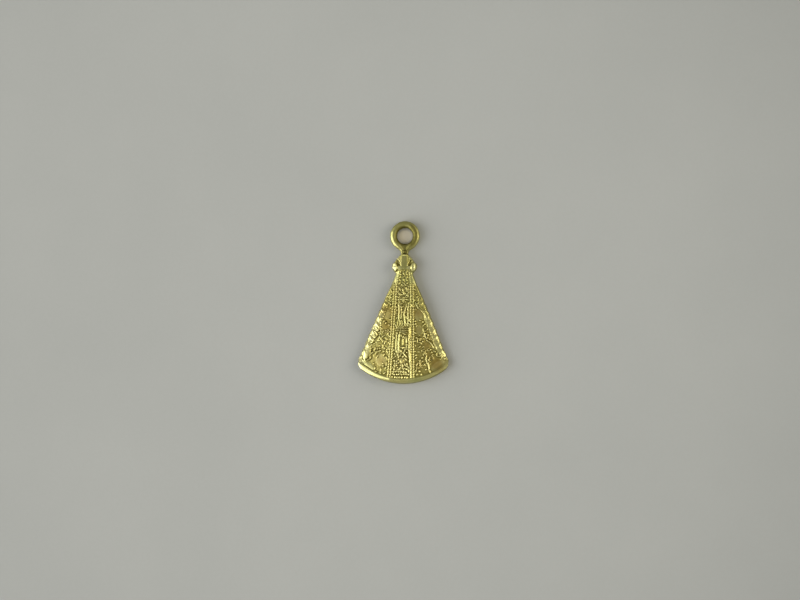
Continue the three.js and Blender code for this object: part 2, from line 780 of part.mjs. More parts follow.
// A place in a lower corner: inside the rim and in from the corner, both along the hem's curve
function cornerPlace(side, inside, along) {
  const radius = HEM_RADIUS - RIM_WIDTH - CORNER_LEAF_GAP - inside;
  const corner = Math.asin(sideHalf(cornerZ(0, HEM_RADIUS)) / HEM_RADIUS);
  const angle = corner - along / radius;
  const at = new THREE.Vector3(side * radius * Math.sin(angle), HEM_CENTRE - radius * Math.cos(angle), 0);
  return { at, angle };
}

// The scroll lies above the corner leaf, a little farther out than the corner's own bearing
function cornerVolute(side) {
  const inside = CORNER_LEAF_WIDTH + VOLUTE_GAP + VOLUTE_RADIUS + VOLUTE_WIRE / 2;
  const { at } = cornerPlace(side, inside, -VOLUTE_OUT);
  const start = Math.PI * (0.5 + side * 0.4);
  const scroll = wire(scrollPoints(at, VOLUTE_RADIUS, 1.2, start, side), VOLUTE_WIRE, VOLUTE_HEIGHT, 24);
  return join([scroll, disc(at, VOLUTE_EYE, VOLUTE_HEIGHT * 1.1)]);
}

// The leaf lies along the inside of the rim, as far out as the corner lets it
function cornerLeaf(side) {
  const { at, angle } = cornerPlace(side, CORNER_LEAF_WIDTH / 2, CORNER_LEAF_LENGTH / 2 + CORNER_LEAF_GAP);
  return leaf(at, CORNER_LEAF_WIDTH, CORNER_LEAF_LENGTH, side * (angle - Math.PI / 2));
}

for (const [word, side] of Object.entries(SIDES)) {
  const face = fieldFaces[word];
  addPiece(face, "edge_border_" + word, edgeBorder(side), relief);
  addPiece(face, "divider_wire_" + word, dividerWire(side), polished);
  addPiece(face, "edge_ring_" + word, edgeRing(side), relief);
  addPiece(face, "corner_volute_" + word, cornerVolute(side), relief);
  addPiece(face, "corner_leaf_" + word, cornerLeaf(side), polished);
}

// Relief of the left and right fields

const PETALS = 5;

function flower(at) {
  const count = PETALS * 4;
  const outline = Array.from({ length: count }, (_, i) => {
    const angle = (2 * Math.PI * i) / count;
    return polar(at, (FLOWER / 2) * (0.8 + 0.2 * Math.cos(PETALS * angle)), angle);
  });
  return mound(outline, LEAF_HEIGHT);
}

// Three leaves that spread from one foot
function spray(at, lean) {
  const upright = new THREE.Vector3(0, SPRAY_LEAF_LENGTH * 0.4, 0);
  const leaves = [-1, 0, 1].map((place) => {
    const turn = place * SPRAY_SPREAD + lean;
    const middle = upright.clone().applyAxisAngle(new THREE.Vector3(0, 0, 1), turn).add(at);
    return leaf(middle, SPRAY_LEAF_WIDTH, SPRAY_LEAF_LENGTH, turn);
  });
  return join(leaves);
}

const onField = (side) => (across, down) => fieldPoint(side, across, down);

function wireThrough(route, place, width) {
  return wire(route.map(([across, down]) => place(across, down)), width, FINE_HEIGHT);
}

function leftField(face) {
  const at = onField(-1);
  addPiece(face, "upper_leaf_left", longLeaf(at(0.24, 0.325), 0.12), polished);
  addPiece(face, "flower_left", flower(at(0.22, 0.475)), relief);
  addPiece(face, "spray_left", spray(at(0.3, 0.61), 0.2), relief);
  addPiece(face, "small_flower_left", flower(at(0.46, 0.7)), relief);
  addPiece(face, "lower_leaf_left", largeLeaf(at(0.22, 0.79), -0.2), polished);
}

function rightField(face) {
  const at = onField(1);
  const sRoute = [
    [0.36, 0.745],
    [0.33, 0.794],
    [0.36, 0.826],
    [0.38, 0.858],
    [0.38, 0.905],
  ];
  const cScroll = wire(scrollPoints(at(0.17, 0.6), C_SCROLL_RADIUS, 0.75, 0.8), FINE_WIRE, FINE_HEIGHT);
  addPiece(face, "upper_leaf_right", longLeaf(at(0.24, 0.325), -0.12), polished);
  addPiece(face, "middle_leaf_right", longLeaf(at(0.18, 0.475), 0.05), polished);
  addPiece(face, "c_scroll_right", cScroll, relief);
  addPiece(face, "flower_right", flower(at(0.5, 0.705)), relief);
  addPiece(face, "small_leaf_right", smallLeaf(at(0.2, 0.725), -0.4), relief);
  addPiece(face, "s_wire_right", wireThrough(sRoute, at, FINE_WIRE), polished);
  addPiece(face, "lower_leaf_right", longLeaf(at(0.15, 0.84), 0), relief);
}

leftField(fieldFaces.left);
rightField(fieldFaces.right);

// Relief of the middle panel, from the shoulder down

function panelCross() {
  const height = 0.155;
  const upright = leaf(panelPoint(0, height), CROSS_WIDTH, CROSS_LENGTH, 0, LEAF_HEIGHT * 1.3);
  const ends = [-0.9, 0.9].map((across) => panelPoint(across, height));
  return join([beadRow(...ends, CROSSBAR_WIDTH, LEAF_HEIGHT, GRANULE), upright]);
}

function panelLoop() {
  const route = [
    [-0.74, 0.46],
    [-0.74, 0.385],
    [-0.58, 0.355],
    [-0.42, 0.385],
    [-0.42, 0.46],
  ];
  return wireThrough(route, panelPoint, FINE_WIRE);
}

function nicheFrame() {
  const route = [
    [-0.5, 0.705],
    [-0.53, 0.58],
    [-0.25, 0.532],
    [0.16, 0.52],
    [0.55, 0.532],
    [0.8, 0.58],
    [0.78, 0.705],
  ];
  return wire(route.map(([across, down]) => panelPoint(across, down)), NICHE_WIRE, FINE_HEIGHT * 1.3, 22);
}

// Rows of granules above the rim, each shorter than the one below it
function granuleRow(line) {
  const v = RIM_TOP + RIM_WIDTH * 0.2 + GRANULE * (0.55 + 1.03 * line);
  const half = (crease(v) - BEADS_OUTER) * (0.96 - 0.16 * line);
  const end = (side) => new THREE.Vector3(panelMiddle(v) + side * half, v, 0);
  return beadRow(end(-1), end(1), GRANULE, GRANULE / 2, GRANULE);
}

function dottedBand() {
  const reach = 0.95;
  const down = 0.492;
  return beadRow(panelPoint(-reach, down), panelPoint(reach, down), GRANULE, GRANULE / 2, GRANULE);
}

function middlePanel(face) {
  const leftFold = [
    [-0.66, 0.195],
    [-0.6, 0.26],
    [-0.62, 0.335],
  ];
  const rightFold = [
    [0.42, 0.21],
    [0.36, 0.25],
    [0.14, 0.31],
    [0.3, 0.37],
    [0.34, 0.45],
  ];
  addPiece(face, "panel_spray", spray(panelPoint(0, 0.085), 0), relief);
  addPiece(face, "panel_cross", panelCross(), relief);
  addPiece(face, "panel_fold_left", wireThrough(leftFold, panelPoint, FOLD_WIRE), polished);
  addPiece(face, "panel_fold_right", wireThrough(rightFold, panelPoint, FOLD_WIRE), polished);
  addPiece(face, "panel_loop", panelLoop(), relief);
  addPiece(face, "panel_dotted_band", dottedBand(), relief);
  addPiece(face, "niche_frame", nicheFrame(), polished);
  addPiece(face, "niche_bud", smallLeaf(panelPoint(0.15, 0.64), 0), relief);
  addPiece(face, "niche_leaf", smallLeaf(panelPoint(0.32, 0.755), 0.6), relief);
  addPiece(face, "hem_boss", disc(panelPoint(-0.05, 0.82), HEM_BOSS, HEM_BOSS_HEIGHT), relief);
  ["lower", "middle", "upper"].forEach((word, line) => {
    addPiece(face, "granule_row_" + word, granuleRow(line), relief);
  });
}

middlePanel(panelFace);

export default pendant;
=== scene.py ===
import json
from math import acos, cos, hypot, radians, sin

import bpy
import numpy as np
from mathutils import Matrix, Vector


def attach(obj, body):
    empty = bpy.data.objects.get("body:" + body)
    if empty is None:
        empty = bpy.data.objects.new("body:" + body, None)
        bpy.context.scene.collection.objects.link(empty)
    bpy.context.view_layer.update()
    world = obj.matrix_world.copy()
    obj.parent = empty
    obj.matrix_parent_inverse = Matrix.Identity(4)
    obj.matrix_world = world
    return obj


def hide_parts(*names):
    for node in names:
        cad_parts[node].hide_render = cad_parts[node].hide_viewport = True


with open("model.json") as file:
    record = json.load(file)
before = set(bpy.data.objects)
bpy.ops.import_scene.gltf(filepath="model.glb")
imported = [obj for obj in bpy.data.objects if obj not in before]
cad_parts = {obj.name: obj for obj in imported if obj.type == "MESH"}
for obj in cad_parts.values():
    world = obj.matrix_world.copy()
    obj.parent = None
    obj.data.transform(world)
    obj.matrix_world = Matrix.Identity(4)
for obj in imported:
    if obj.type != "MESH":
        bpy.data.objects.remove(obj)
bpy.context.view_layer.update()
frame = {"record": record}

MM = 0.001
pick = np.random.default_rng(7).uniform

# Photograph: its size, the pixel of the eye's centre and the millimetres of one pixel
IMAGE = (800, 600)
EYE_PIXEL = (405, 236)
PIXEL_MM = 0.1362
CAMERA_ANGLES = (7, -4, 0.8)  # azimuth, elevation and roll in degrees
LENS = 85
SENSOR = 36

# The pendant's own sizes in millimetres, as the CAD model has them
RING_RADIUS = 1.55
RING_WIRE = 0.95
NECK_WIDTH = 0.92
NECK_DEPTH = 0.52
NECK_FOOT = -2.475
NECK_BEAD = (0, -0.33, -2.196)
BEAD_RADII = (0.27, 0.22, 0.27)
RING_TURN = 136  # degrees that the wire's arc runs down from the top on each side
WEB = ((-1.2, 0.6, 0.2), (-1.5, 0.62, 0.24), (-1.8, 0.52, 0.24), (-2.15, 0.46, 0.24), (NECK_FOOT, 0.47, 0.26))
CROWN_TOP = -2.495
KNOB_X = 1.3
KNOB_Z = -4.27
BAND_TOP = -4.165
BAND_FOOT = -4.625
BAND_Z = (BAND_TOP + BAND_FOOT) / 2
HOOD_TOP = -4.645
HOOD_FOOT = -6.695
HOOD_DROP = 2.05
HOOD_HALF = 1
SHOULDER_HALF = 1.72
MANTLE_TOP = -6.715
SIDE_HEIGHT = 10.4
HEM_RADIUS = 9.55
PENDANT_DROP = 20.1
HEM_CENTRE = HEM_RADIUS - PENDANT_DROP
RIM_WIDTH = 0.6
RIM_LIFT = 0.14
BACK_Y = 0.5
PLATE_FRONT = 0.1
SEAT_Y = 0.08
LEAN = 0.0291
CREASE = (1.09, 0.0381)
SWING = 0.0164
FIELD_SLOPE = 0.205
FACE_TOP = 0.8  # how far the face stands before the seat at the hood's top
BEAD_PITCH = 0.34
SIDES = ((-1, "left"), (1, "right"))

# What the visual model adds to the CAD model, in millimetres
GROUND = 0.07  # how deep the ground lies under the CAD model's faces
GAIN = 1.5  # how much stronger every ornament is drawn
EDGE_BEADS = (1.04, 0.47)  # the pitches of the waves along the slanted edges
CORNER_Z = -17.62  # where the slanted edges end, before the corners are rounded
CORNER_ROUND = 1.5
RIM_ZONE = -15  # the rim lies wholly below this height
EDGE_SHARE = 0.55  # height left at the very edge, where it rounds over

GAP_TRIES = 3600  # random places tried for the small ornaments between the large ones

# The rim's section: places across it, and the share of its full height there in three parts of the hem
RIM_PLACES = (-0.02, 0.08, 0.3, 0.5, 0.75, 0.92, 1)
RIM_ARCHED = (0.88, 0.96, 1, 1, 0.93, 0.74, 0.5)
RIM_SLOPED = (0.98, 1, 0.98, 0.93, 0.82, 0.66, 0.45)
RIM_LEANED = (0.92, 0.99, 1, 0.965, 0.89, 0.76, 0.5)

# Rows of the skirts behind the edges of the front and the back plate: distance outward and depth
FRONT_SKIRT = (
    (0.02, SEAT_Y - 0.12), (0.03, SEAT_Y - 0.04), (0.02, SEAT_Y + 0.01), (-0.02, SEAT_Y + 0.03),
    (-0.12, SEAT_Y + 0.03),
)
BACK_SKIRT = (
    (0.06, BACK_Y - 0.02), (0.09, BACK_Y - 0.07), (0.1, BACK_Y - 0.14), (0.1, PLATE_FRONT + 0.08), (0.1, PLATE_FRONT),
)
# The skirts' shares of tarnish and painted shade, of dulled olive and painted shade, and of wear and painted
# highlight
SKIRT_VALUES = {"tarnish_and_shade": 0.15, "low": 0.3, "wear_and_highlight": 0.0}

# The uneven ground: size, scale and seed of each layer
GRAIN = ((0.006, 0.3, 3), (0.008, 0.55, 6), (0.014, 1.1, 4))

# Grids: rows and columns
FRONT_GRID = (620, 330)
BACK_GRID = (160, 80)
PAPER_GRID = (240, 60)

# The paper's place and half size in metres, and its opening's inset in millimetres
PAPER_Y = 0.54 * MM
PAPER_HALF = 0.25
PAPER_INSET = 0.12


def unit(value):
    return np.clip(value, 0, 1)


def ease(low, high, value):
    """Zero at low and one at high, smooth between them."""
    t = unit((value - low) / (high - low))
    return t * t * (3 - 2 * t)


def window(value, a, b, c, d):
    """One from b to c, and down to zero at a and at d."""
    return ease(a, b, value) * ease(d, c, value)


def spot(x, z, at_x, at_z, reach_x, reach_z):
    """A soft round spot, one at its middle."""
    return np.exp(-((x - at_x) / reach_x) ** 2 - ((z - at_z) / reach_z) ** 2)


def mix(a, b, t):
    return a + (b - a) * t


# Outline: half width at a height

def side_half(z):
    share = (MANTLE_TOP - z) / SIDE_HEIGHT
    return SHOULDER_HALF + 4.38 * share + 0.6 * share * (1 - share) + 0.12 * ease(0.8, 1, share)


# Heights on the crown and the half width at each
CROWN_OUTLINE = (
    (-5.1, 1.15), (-4.95, 1.25), (-4.85, 1.37), (-4.7, 1.5), (-4.4, 1.65), (-4, 1.66), (-3.84, 1.59),
    (-3.7, 1.42), (-3.5, 1.28), (-3.16, 1.03), (-2.78, 0.71), (-2.6, 0.53), (-2.49, 0.42),
)


def crown_half(z):
    return np.interp(z, *zip(*CROWN_OUTLINE))


def hood_half(z):
    share = unit((HOOD_TOP - z) / HOOD_DROP)
    return mix(HOOD_HALF, SHOULDER_HALF, share ** 1.2)


def half_width(z, side):
    upper = np.where(z > -4.7, crown_half(z), np.maximum(crown_half(z), hood_half(z)))
    half = mix(side_half(z), upper, ease(-6.95, -6.45, z))
    # The open leaves of the border make the edge uneven
    down = ease(-8, -9.5, z)
    long, short = EDGE_BEADS
    phase = np.where(side > 0, 1.3, 0)
    wave = 0.035 * np.cos(2 * np.pi * (z + phase) / long) + 0.02 * np.cos(2 * np.pi * z / short + side)
    return half + down * (wave - 0.03)


SIDE_NORMAL = np.array((0.94, 0.341))
CORNER_ANGLE = acos((HEM_CENTRE - CORNER_Z) / HEM_RADIUS)


def front_grid(rows, cols, inset=0):
    """Places (x, z) over the front, in rows that bend into the hem's arc."""
    v = np.linspace(-1, 1, cols)
    s = 0.72 * v + 0.28 * np.sin(np.pi * v / 2)
    t = np.linspace(0, 1, rows)[:, None]
    side_z = mix(CROWN_TOP - inset, CORNER_Z + inset * 0.4, t)
    sag = ease(-5, -18.5, side_z)
    sag = sag / sag[-1]
    drop = (HEM_RADIUS - inset) * (np.cos(CORNER_ANGLE * s) - cos(CORNER_ANGLE))
    bend = np.sin(CORNER_ANGLE * s) / sin(CORNER_ANGLE)
    half = half_width(side_z, np.where(s < 0, -1, 1)) - inset
    return round_corners(half * mix(s, bend, sag), side_z - sag * drop)


def round_corners(x, z):
    """Rounds the two lower corners and all that is near them."""
    side, arc = SIDE_NORMAL, np.array([sin(CORNER_ANGLE), -cos(CORNER_ANGLE)])
    middle = side + arc
    middle /= np.linalg.norm(middle)
    centre = np.array([abs(x[-1, 0]), z[-1, 0]]) - middle * CORNER_ROUND / (middle @ side)
    dx, dz = np.abs(x) - centre[0], z - centre[1]
    reach = np.maximum(np.hypot(dx, dz), 1e-9)
    to_side = (dx * side[0] + dz * side[1]) / reach
    to_arc = (dx * arc[0] + dz * arc[1]) / reach
    between = (to_side > side @ arc) & (to_arc > side @ arc)
    edge = CORNER_ROUND / np.maximum(np.maximum(to_side, to_arc), 0.1)
    scale = mix(1, CORNER_ROUND / edge, unit(reach / edge) ** 2)
    scale = np.where(between, scale, 1)
    return np.sign(x) * (centre[0] + dx * scale), centre[1] + dz * scale


# Height of the front over the seat, without the ornaments

def smooth_max(a, b, k):
    near = np.maximum(k - np.abs(a - b), 0) / k
    return np.maximum(a, b) + near * near * k / 4


def panel_middle(z):
    return -SWING * (MANTLE_TOP - z)


def crease(z):
    return CREASE[0] + CREASE[1] * (MANTLE_TOP - z)


def face_height(x, z):
    panel = FACE_TOP + LEAN * (HOOD_TOP - z)
    return panel - FIELD_SLOPE * np.maximum(0, np.abs(x - panel_middle(z)) - crease(z))


def hood_height(x, z):
    share = unit((HOOD_TOP - z) / HOOD_DROP)
    flat = mix(0.62, 1, share)
    out = np.clip(np.abs(x) - flat, 0, hood_half(z) - flat)
    return FACE_TOP + LEAN * (HOOD_TOP - z) - np.where(x < 0, mix(0.75, 0.6, share), 0.3) * out


def crown_recess(x, z):
    """How deep a place lies in one of the two recesses, from 0 to 1."""
    up = unit((z + 4.12) / 0.95)
    across = np.abs(np.abs(x) - mix(0.78, 0.96, up)) / mix(0.32, 0.09, up)
    return ease(1.3, 0.4, across) * window(z, -4.2, -4, -3.4, -3.1)


def crown_height(x, z):
    """A dome with a flat rib, a recess at each side of it and a band below."""
    out = np.abs(x)
    dome = 0.54 + 0.2 * (1 - unit(out / 1.6) ** 2)
    rib_half = mix(0.36, 0.52, ease(-2.6, -4, z))
    rib = 0.785 - 0.06 * np.clip(out / rib_half, 0, 3) ** 4
    band = 0.83 - 1.6 * unit(np.abs(z - BAND_Z) - 0.12) ** 1.3 - 0.1 * (out / 1.3) ** 2
    band = band - 0.09 * ease(0.55, 0.25, out)
    return smooth_max(smooth_max(dome, rib, 0.15) - 0.2 * crown_recess(x, z), band, 0.06)


def base_height(x, z):
    hood = hood_height(x, z) - 0.08 * ease(1.15, 0.8, np.abs(x))
    height = mix(face_height(x, z) - GROUND, hood, ease(-7.3, -6.3, z))
    return mix(height, crown_height(x, z), ease(-4.7, -4.55, z))


# Relief: ornaments, each with the CAD node that it stands for

def curve(points, steps=12):
    """A smooth curve through a few points."""
    p = np.asarray(points, float)
    if len(p) == 2:
        return np.linspace(p[0], p[1], steps * 2)
    p = np.vstack([2 * p[0] - p[1], p, 2 * p[-1] - p[-2]])
    rows = []
    for i in range(1, len(p) - 2):
        t = np.linspace(0, 1, steps, endpoint=False)[:, None]
        a, b, c, d = p[i - 1], p[i], p[i + 1], p[i + 2]
        rows.append(0.5 * (2 * b + (c - a) * t + (2 * a - 5 * b + 4 * c - d) * t ** 2
                           + (3 * b - a - 3 * c + d) * t ** 3))
    return np.vstack(rows + [p[-2][None]])


def circle(at, radius, angle):
    return np.stack([at[0] + radius * np.cos(angle), at[1] + radius * np.sin(angle)], 1)


class Relief:
    """The ornaments' height at every place of a grid, and the node that it shows."""

    def __init__(self, x, z):
        self.x, self.z = x.ravel(), z.ravel()
        self.height = np.zeros(self.x.shape)
        self.label = np.zeros(self.x.shape, int)
        self.names = ["mantle_body"]
        self.lift = np.zeros(self.x.shape)

    def index(self, name):
        if name not in self.names:
            self.names.append(name)
        return self.names.index(name)

    def near(self, low, high):
        return np.nonzero((self.x > low[0]) & (self.x < high[0]) & (self.z > low[1]) & (self.z < high[1]))[0]

    def put(self, where, height, name):
        height = np.maximum(height, -0.2) * np.where(height > 0, GAIN, 1)
        wins = where[(height > self.height[where]) & (height > 0)]
        self.label[wins] = self.index(name)
        self.height[where] = smooth_max(self.height[where], height, 0.025)

    def stroke(self, points, width, height, name, tip=0.45, pitch=0, fine=12):
        """A wire along a curve, thinner at its tips and beaded where it has a pitch."""
        line = curve(points, fine)
        reach = width * 0.8
        where = self.near(line.min(0) - reach, line.max(0) + reach)
        step = np.linalg.norm(np.diff(line, axis=0), axis=1)
        along = np.concatenate([[0], np.cumsum(step)])
        px, pz = self.x[where], self.z[where]
        best = np.full(len(where), 9e9)
        at = np.zeros(len(where))
        for k in range(len(line) - 1):
            d = line[k + 1] - line[k]
            dx, dz = px - line[k, 0], pz - line[k, 1]
            t = unit((dx * d[0] + dz * d[1]) / max(d @ d, 1e-12))
            gap = np.hypot(dx - t * d[0], dz - t * d[1])
            at = np.where(gap < best, along[k] + t * step[k], at)
            best = np.minimum(gap, best)
        share = at / along[-1]
        full = np.minimum(1, tip + 4 * np.minimum(share, 1 - share))
        if pitch:
            full = full * (0.62 + 0.38 * np.abs(np.cos(np.pi * at / pitch)) ** 0.7)
        height = min(height, 0.36 * width)
        radius = width / 2 * full
        rise = height * full * (1 - (best / radius) ** 2)
        self.put(where, rise, name)

    def leaf(self, at, width, length, turn, height, name, vein=0.03, point=0.7, lobes=0, swell=2):
        """A leaf; a small point rounds its ends and a large swell flattens its top."""
        reach = max(width, length) * 0.75
        height = min(height, 0.34 * width)
        at = np.asarray(at, float)
        where = self.near(at - reach, at + reach)
        dx, dz = self.x[where] - at[0], self.z[where] - at[1]
        u = dx * cos(turn) + dz * sin(turn)
        v = -dx * sin(turn) + dz * cos(turn)
        share = unit(np.abs(v) / (length / 2))
        half = width / 2 * np.maximum(1 - share ** 2, 0.02) ** point
        if lobes:
            half = half * (0.84 + 0.16 * np.cos(2 * np.pi * lobes * v / length))
        rise = height * (1 - np.abs(u / half) ** swell) * (1 - 0.35 * share ** 2)
        rise = np.where(np.abs(v) > length / 2, -0.2, rise)
        if vein:
            rise = rise - vein * np.exp(-(u / 0.035) ** 2)
            if lobes:
                folds = 0.5 + 0.5 * np.cos(2 * np.pi * lobes * (v - np.abs(u)) / length)
                rise = rise - 0.6 * vein * folds * share
        self.put(where, rise, name)

    def pane(self, at, width, length, turn, name, height=0.006):
        """A smooth shield, hardly raised unless a height is given."""
        self.leaf(at, width, length, turn, height, name, vein=0, point=0.5, swell=4)

    def dots(self, name, radius, height, *places, stretch=1, turn=0):
        """Round granules, drawn out by a stretch."""
        for place in places:
            self.leaf(place, 2 * radius, 2 * radius * stretch, turn, height, name, vein=0, point=0.5)

    def cut(self, points, width, depth):
        line = curve(points, 8)
        where = self.near(line.min(0) - width, line.max(0) + width)
        gap = np.full(len(where), 9e9)
        for x, z in line:
            gap = np.minimum(gap, np.hypot(self.x[where] - x, self.z[where] - z))
        self.height[where] -= depth * np.exp(-(gap / (0.5 * width)) ** 2)

    def ring(self, at, radius, width, height, name):
        points = circle(at, radius, np.linspace(0, 2 * np.pi, 22))
        self.stroke(points, width, height, name, tip=1, fine=2)

    def scroll(self, at, radius, turns, start, hand, width, height, name, close=0.75):
        t = np.linspace(0, 1, int(turns * 10) + 2)
        angle = start + hand * 2 * np.pi * turns * t
        points = circle(at, radius * (1 - close * t), angle)
        self.stroke(points, width, height, name, tip=0.6, fine=3)

    def at(self, x, z):
        """The height at the place next to a point."""
        return self.height[np.argmin((self.x - x) ** 2 + (self.z - z) ** 2)]


def draw_crown(art):
    """Names for the parts of the dome, and the knobs."""
    out = np.abs(art.x)
    crown = (art.z > BAND_TOP) & (art.z < CROWN_TOP + 1)
    for side, word in SIDES:
        arch = crown & (side * art.x > 0) & (out > 0.85 - 0.35 * ease(-3.4, -2.8, art.z))
        art.label[arch] = art.index("crown_arch_" + word)
    rib_half = mix(0.32, 0.46, ease(-2.6, -4.2, art.z))
    art.label[crown & (out < rib_half)] = art.index("crown_rib")
    for side, word in SIDES:
        beside = side * art.x - KNOB_X
        far = (beside / np.where(beside < 0, 0.38, 0.5)) ** 2 + ((art.z - KNOB_Z) / 0.6) ** 2
        dome = crown_height(art.x, art.z)
        lean = 0.48 * unit(-art.x - 1) + 0.35 * unit(art.x - 1.05)
        rise = 0.9 - 0.1 * far - 0.5 * np.maximum(far - 0.8, 0) - lean
        near = far < 1.45
        art.label[near & (rise > dome - 0.05)] = art.index("crown_knob_" + word)
        art.lift = np.maximum(art.lift, np.where(near, rise, 0))
        art.dots("crown_rib", 0.09, 0.2, (0.06 + side * 0.14, -2.68))
    right = [(0.66, -3.06), (0.88, -3.28), (1, -3.5), (1.02, -3.85)]
    art.stroke(right, 0.16, 0.14, "crown_arch_right")
    art.stroke([(-0.66, -3.3), (-0.56, -3.62), (-0.6, -4)], 0.15, 0.1, "crown_arch_left")


def draw_hood(art):
    """Three columns of small leaves and a beaded line at each side."""
    columns = (("left", -0.42, 0.25), ("middle", 0, -0.2), ("right", 0.42, 0.2))
    for word, x, turn in columns:
        for i in range(5):
            place = (x * (1 + 0.07 * i) + 0.03 * sin(3 * i), -4.9 - 0.4 * i + 0.1 * (word == "middle"))
            lean = turn + (0.5 if i % 2 else -0.5)
            art.leaf(place, 0.32, 0.5, lean, 0.22, "hood_leaves_" + word, vein=0)
    art.stroke([(0.74, -4.8), (0.8, -5.6), (0.9, -6.6)], 0.2, 0.13, "hood", pitch=0.27)
    art.stroke([(-0.72, -5.6), (-0.82, -6.1), (-0.92, -6.7)], 0.16, 0.1, "hood", pitch=0.27)


def draw_lines(art):
    """Beaded wires along the two creases, the inner right one thickened lower down."""
    for side, word in SIDES:
        for place, offset in (("inner", -0.15), ("outer", 0.2)):
            z = np.linspace(MANTLE_TOP + 0.1, -19.35, 9)
            x = panel_middle(z) + side * (crease(z) + offset)
            width, rise = (0.26, 0.17) if place == "inner" else (0.25, 0.14)
            name = "beaded_wire_" + place + "_" + word
            art.stroke(np.stack([x, z], 1), width, rise, name, tip=1, pitch=BEAD_PITCH, fine=10)
    ridges = (
        (0.4, 0.15, [(0.9, -12.2), (0.95, -12.9), (0.9, -13.7), (0.84, -14.5)]),
        (0.24, 0.12, [(0.86, -13.8), (0.88, -14.8), (0.93, -15.6)]),
        (0.36, 0.15, [(0.86, -15.2), (0.98, -16.1), (1.03, -17), (1.04, -17.5)]),
        (0.22, 0.14, [(1.06, -17.1), (1.14, -18), (1.18, -18.8), (1.2, -19.5)]),
    )
    for width, rise, points in ridges:
        art.stroke(points, width, rise, "beaded_wire_inner_right", tip=0.3)


def draw_border(art, side, word):
    """A raised strip along one edge of the fan, with open leaves and beads."""
    name = "edge_border_" + word
    z = np.linspace(-8.9, -16.2, 14)
    art.stroke(np.stack([side * (half_width(z, side) - 0.45), z], 1), 1.05, 0.09, name, tip=0.7)
    for i in range(8):
        z = -9.35 - 0.92 * i + pick(-0.12, 0.12)
        out = half_width(z, side)
        x = side * (out - pick(0.38, 0.5))
        turn = -side * pick(0.25, 0.7)
        width, length = pick(0.5, 0.62), pick(0.85, 1.1)
        art.leaf((x, z), width, length, turn, 0.14 - 0.03 * side, name, vein=0, point=0.5, swell=2.5)
        if side > 0:
            art.cut([(out - 0.1, z - 0.3), (out - 0.35, z - 0.42), (out - 0.65, z - 0.25)], 0.12, 0.035)
    for i in range(20):
        z = -9.2 - 0.3 * i
        x = side * (half_width(z, side) - 0.88 - 0.05 * (i % 2))
        if pick() < 0.55 - 0.25 * side:
            art.dots(name, 0.13, 0.13 + 0.03 * (i % 3), (x, z))


def draw_left_field(art):
    draw_border(art, *SIDES[0])
    art.ring((-2.2, -8.6), 0.3, 0.18, 0.17, "edge_ring_left")
    scrolls = (
        (0.3, [(-4.3, -11.95), (-4.12, -11.65), (-3.8, -11.68), (-3.5, -12), (-3.32, -12.5), (-3.42, -12.9),
               (-3.75, -12.95)]),
        (0.2, [(-4.15, -12.35), (-3.95, -12.1), (-3.72, -12.3), (-3.85, -12.6)]),
        (0.3, [(-4.75, -13.45), (-4.55, -13.1), (-4.1, -12.98), (-3.72, -13.2), (-3.6, -13.6), (-3.85, -13.9),
               (-4.1, -13.75)]),
        (0.28, [(-5.05, -14.5), (-4.9, -14.1), (-4.55, -13.85), (-4.2, -14.1), (-4.2, -14.5), (-4.5, -14.6)]),
    )
    for width, points in scrolls:
        art.cut(points, 1.7 * width, 0.06)
    for width, points in scrolls:
        art.stroke(points, width, 0.3, "edge_border_left")
    art.leaf((-4.7, -15), 0.5, 0.8, 0.7, 0.17, "edge_border_left")
    divider = [(-1.75, -9.2), (-2.35, -9.6), (-2.95, -10.3), (-3.2, -11.2), (-3.1, -12.1), (-3.1, -13.2),
               (-3.5, -14.3), (-3.9, -14.9)]
    art.stroke(divider, 0.16, 0.13, "divider_wire_left", pitch=0.3)
    art.pane((-2.35, -10.6), 1.05, 1.6, 0.35, "upper_leaf_left")
    art.dots("flower_left", 0.2, 0.2, (-2.35, -11.93))
    for k in range(5):
        a = 1.26 * k
        art.dots("flower_left", 0.13, 0.17, (-2.12 + 0.26 * cos(a), -13.1 + 0.26 * sin(a)))
    art.dots("flower_left", 0.11, 0.19, (-2.12, -13.1))
    art.leaf((-3.05, -14), 0.4, 0.95, 0.55, 0.17, "spray_left")
    art.leaf((-2.4, -14.5), 0.36, 0.9, -0.35, 0.18, "spray_left")
    art.leaf((-2.75, -15), 0.3, 0.75, 0.1, 0.17, "spray_left")
    petals = ((-3.47, -15.4), (-3.15, -15.35), (-3.35, -15.75), (-2.2, -15.5), (-2.6, -15.75), (-3.7, -16.1))
    art.dots("small_flower_left", 0.14, 0.18, *petals)
    art.pane((-2.95, -16.95), 1.5, 1.7, 0.5, "lower_leaf_left")
    art.dots("lower_leaf_left", 0.12, 0.18, (-2.7, -17.4))
    art.dots("lower_leaf_left", 0.14, 0.18, (-2.3, -18))
    art.pane((-4.95, -16.05), 1, 1.9, -0.35, "corner_volute_left", height=0.16)
    art.scroll((-4.85, -16.1), 0.5, 0.95, 2.6, -1, 0.3, 0.25, "corner_volute_left", close=0.6)
    curl = [(-5.4, -16.85), (-5.05, -17.1), (-4.7, -16.85), (-4.35, -16.8)]
    art.stroke(curl, 0.2, 0.17, "corner_volute_left")
    art.cut([(-4.1, -15.4), (-4.25, -16), (-4.2, -16.6), (-4.5, -16.95)], 0.14, 0.12)
    art.leaf((-4.75, -17.62), 0.8, 2.1, 0.95, 0.025, "corner_leaf_left", vein=0, point=0.5)


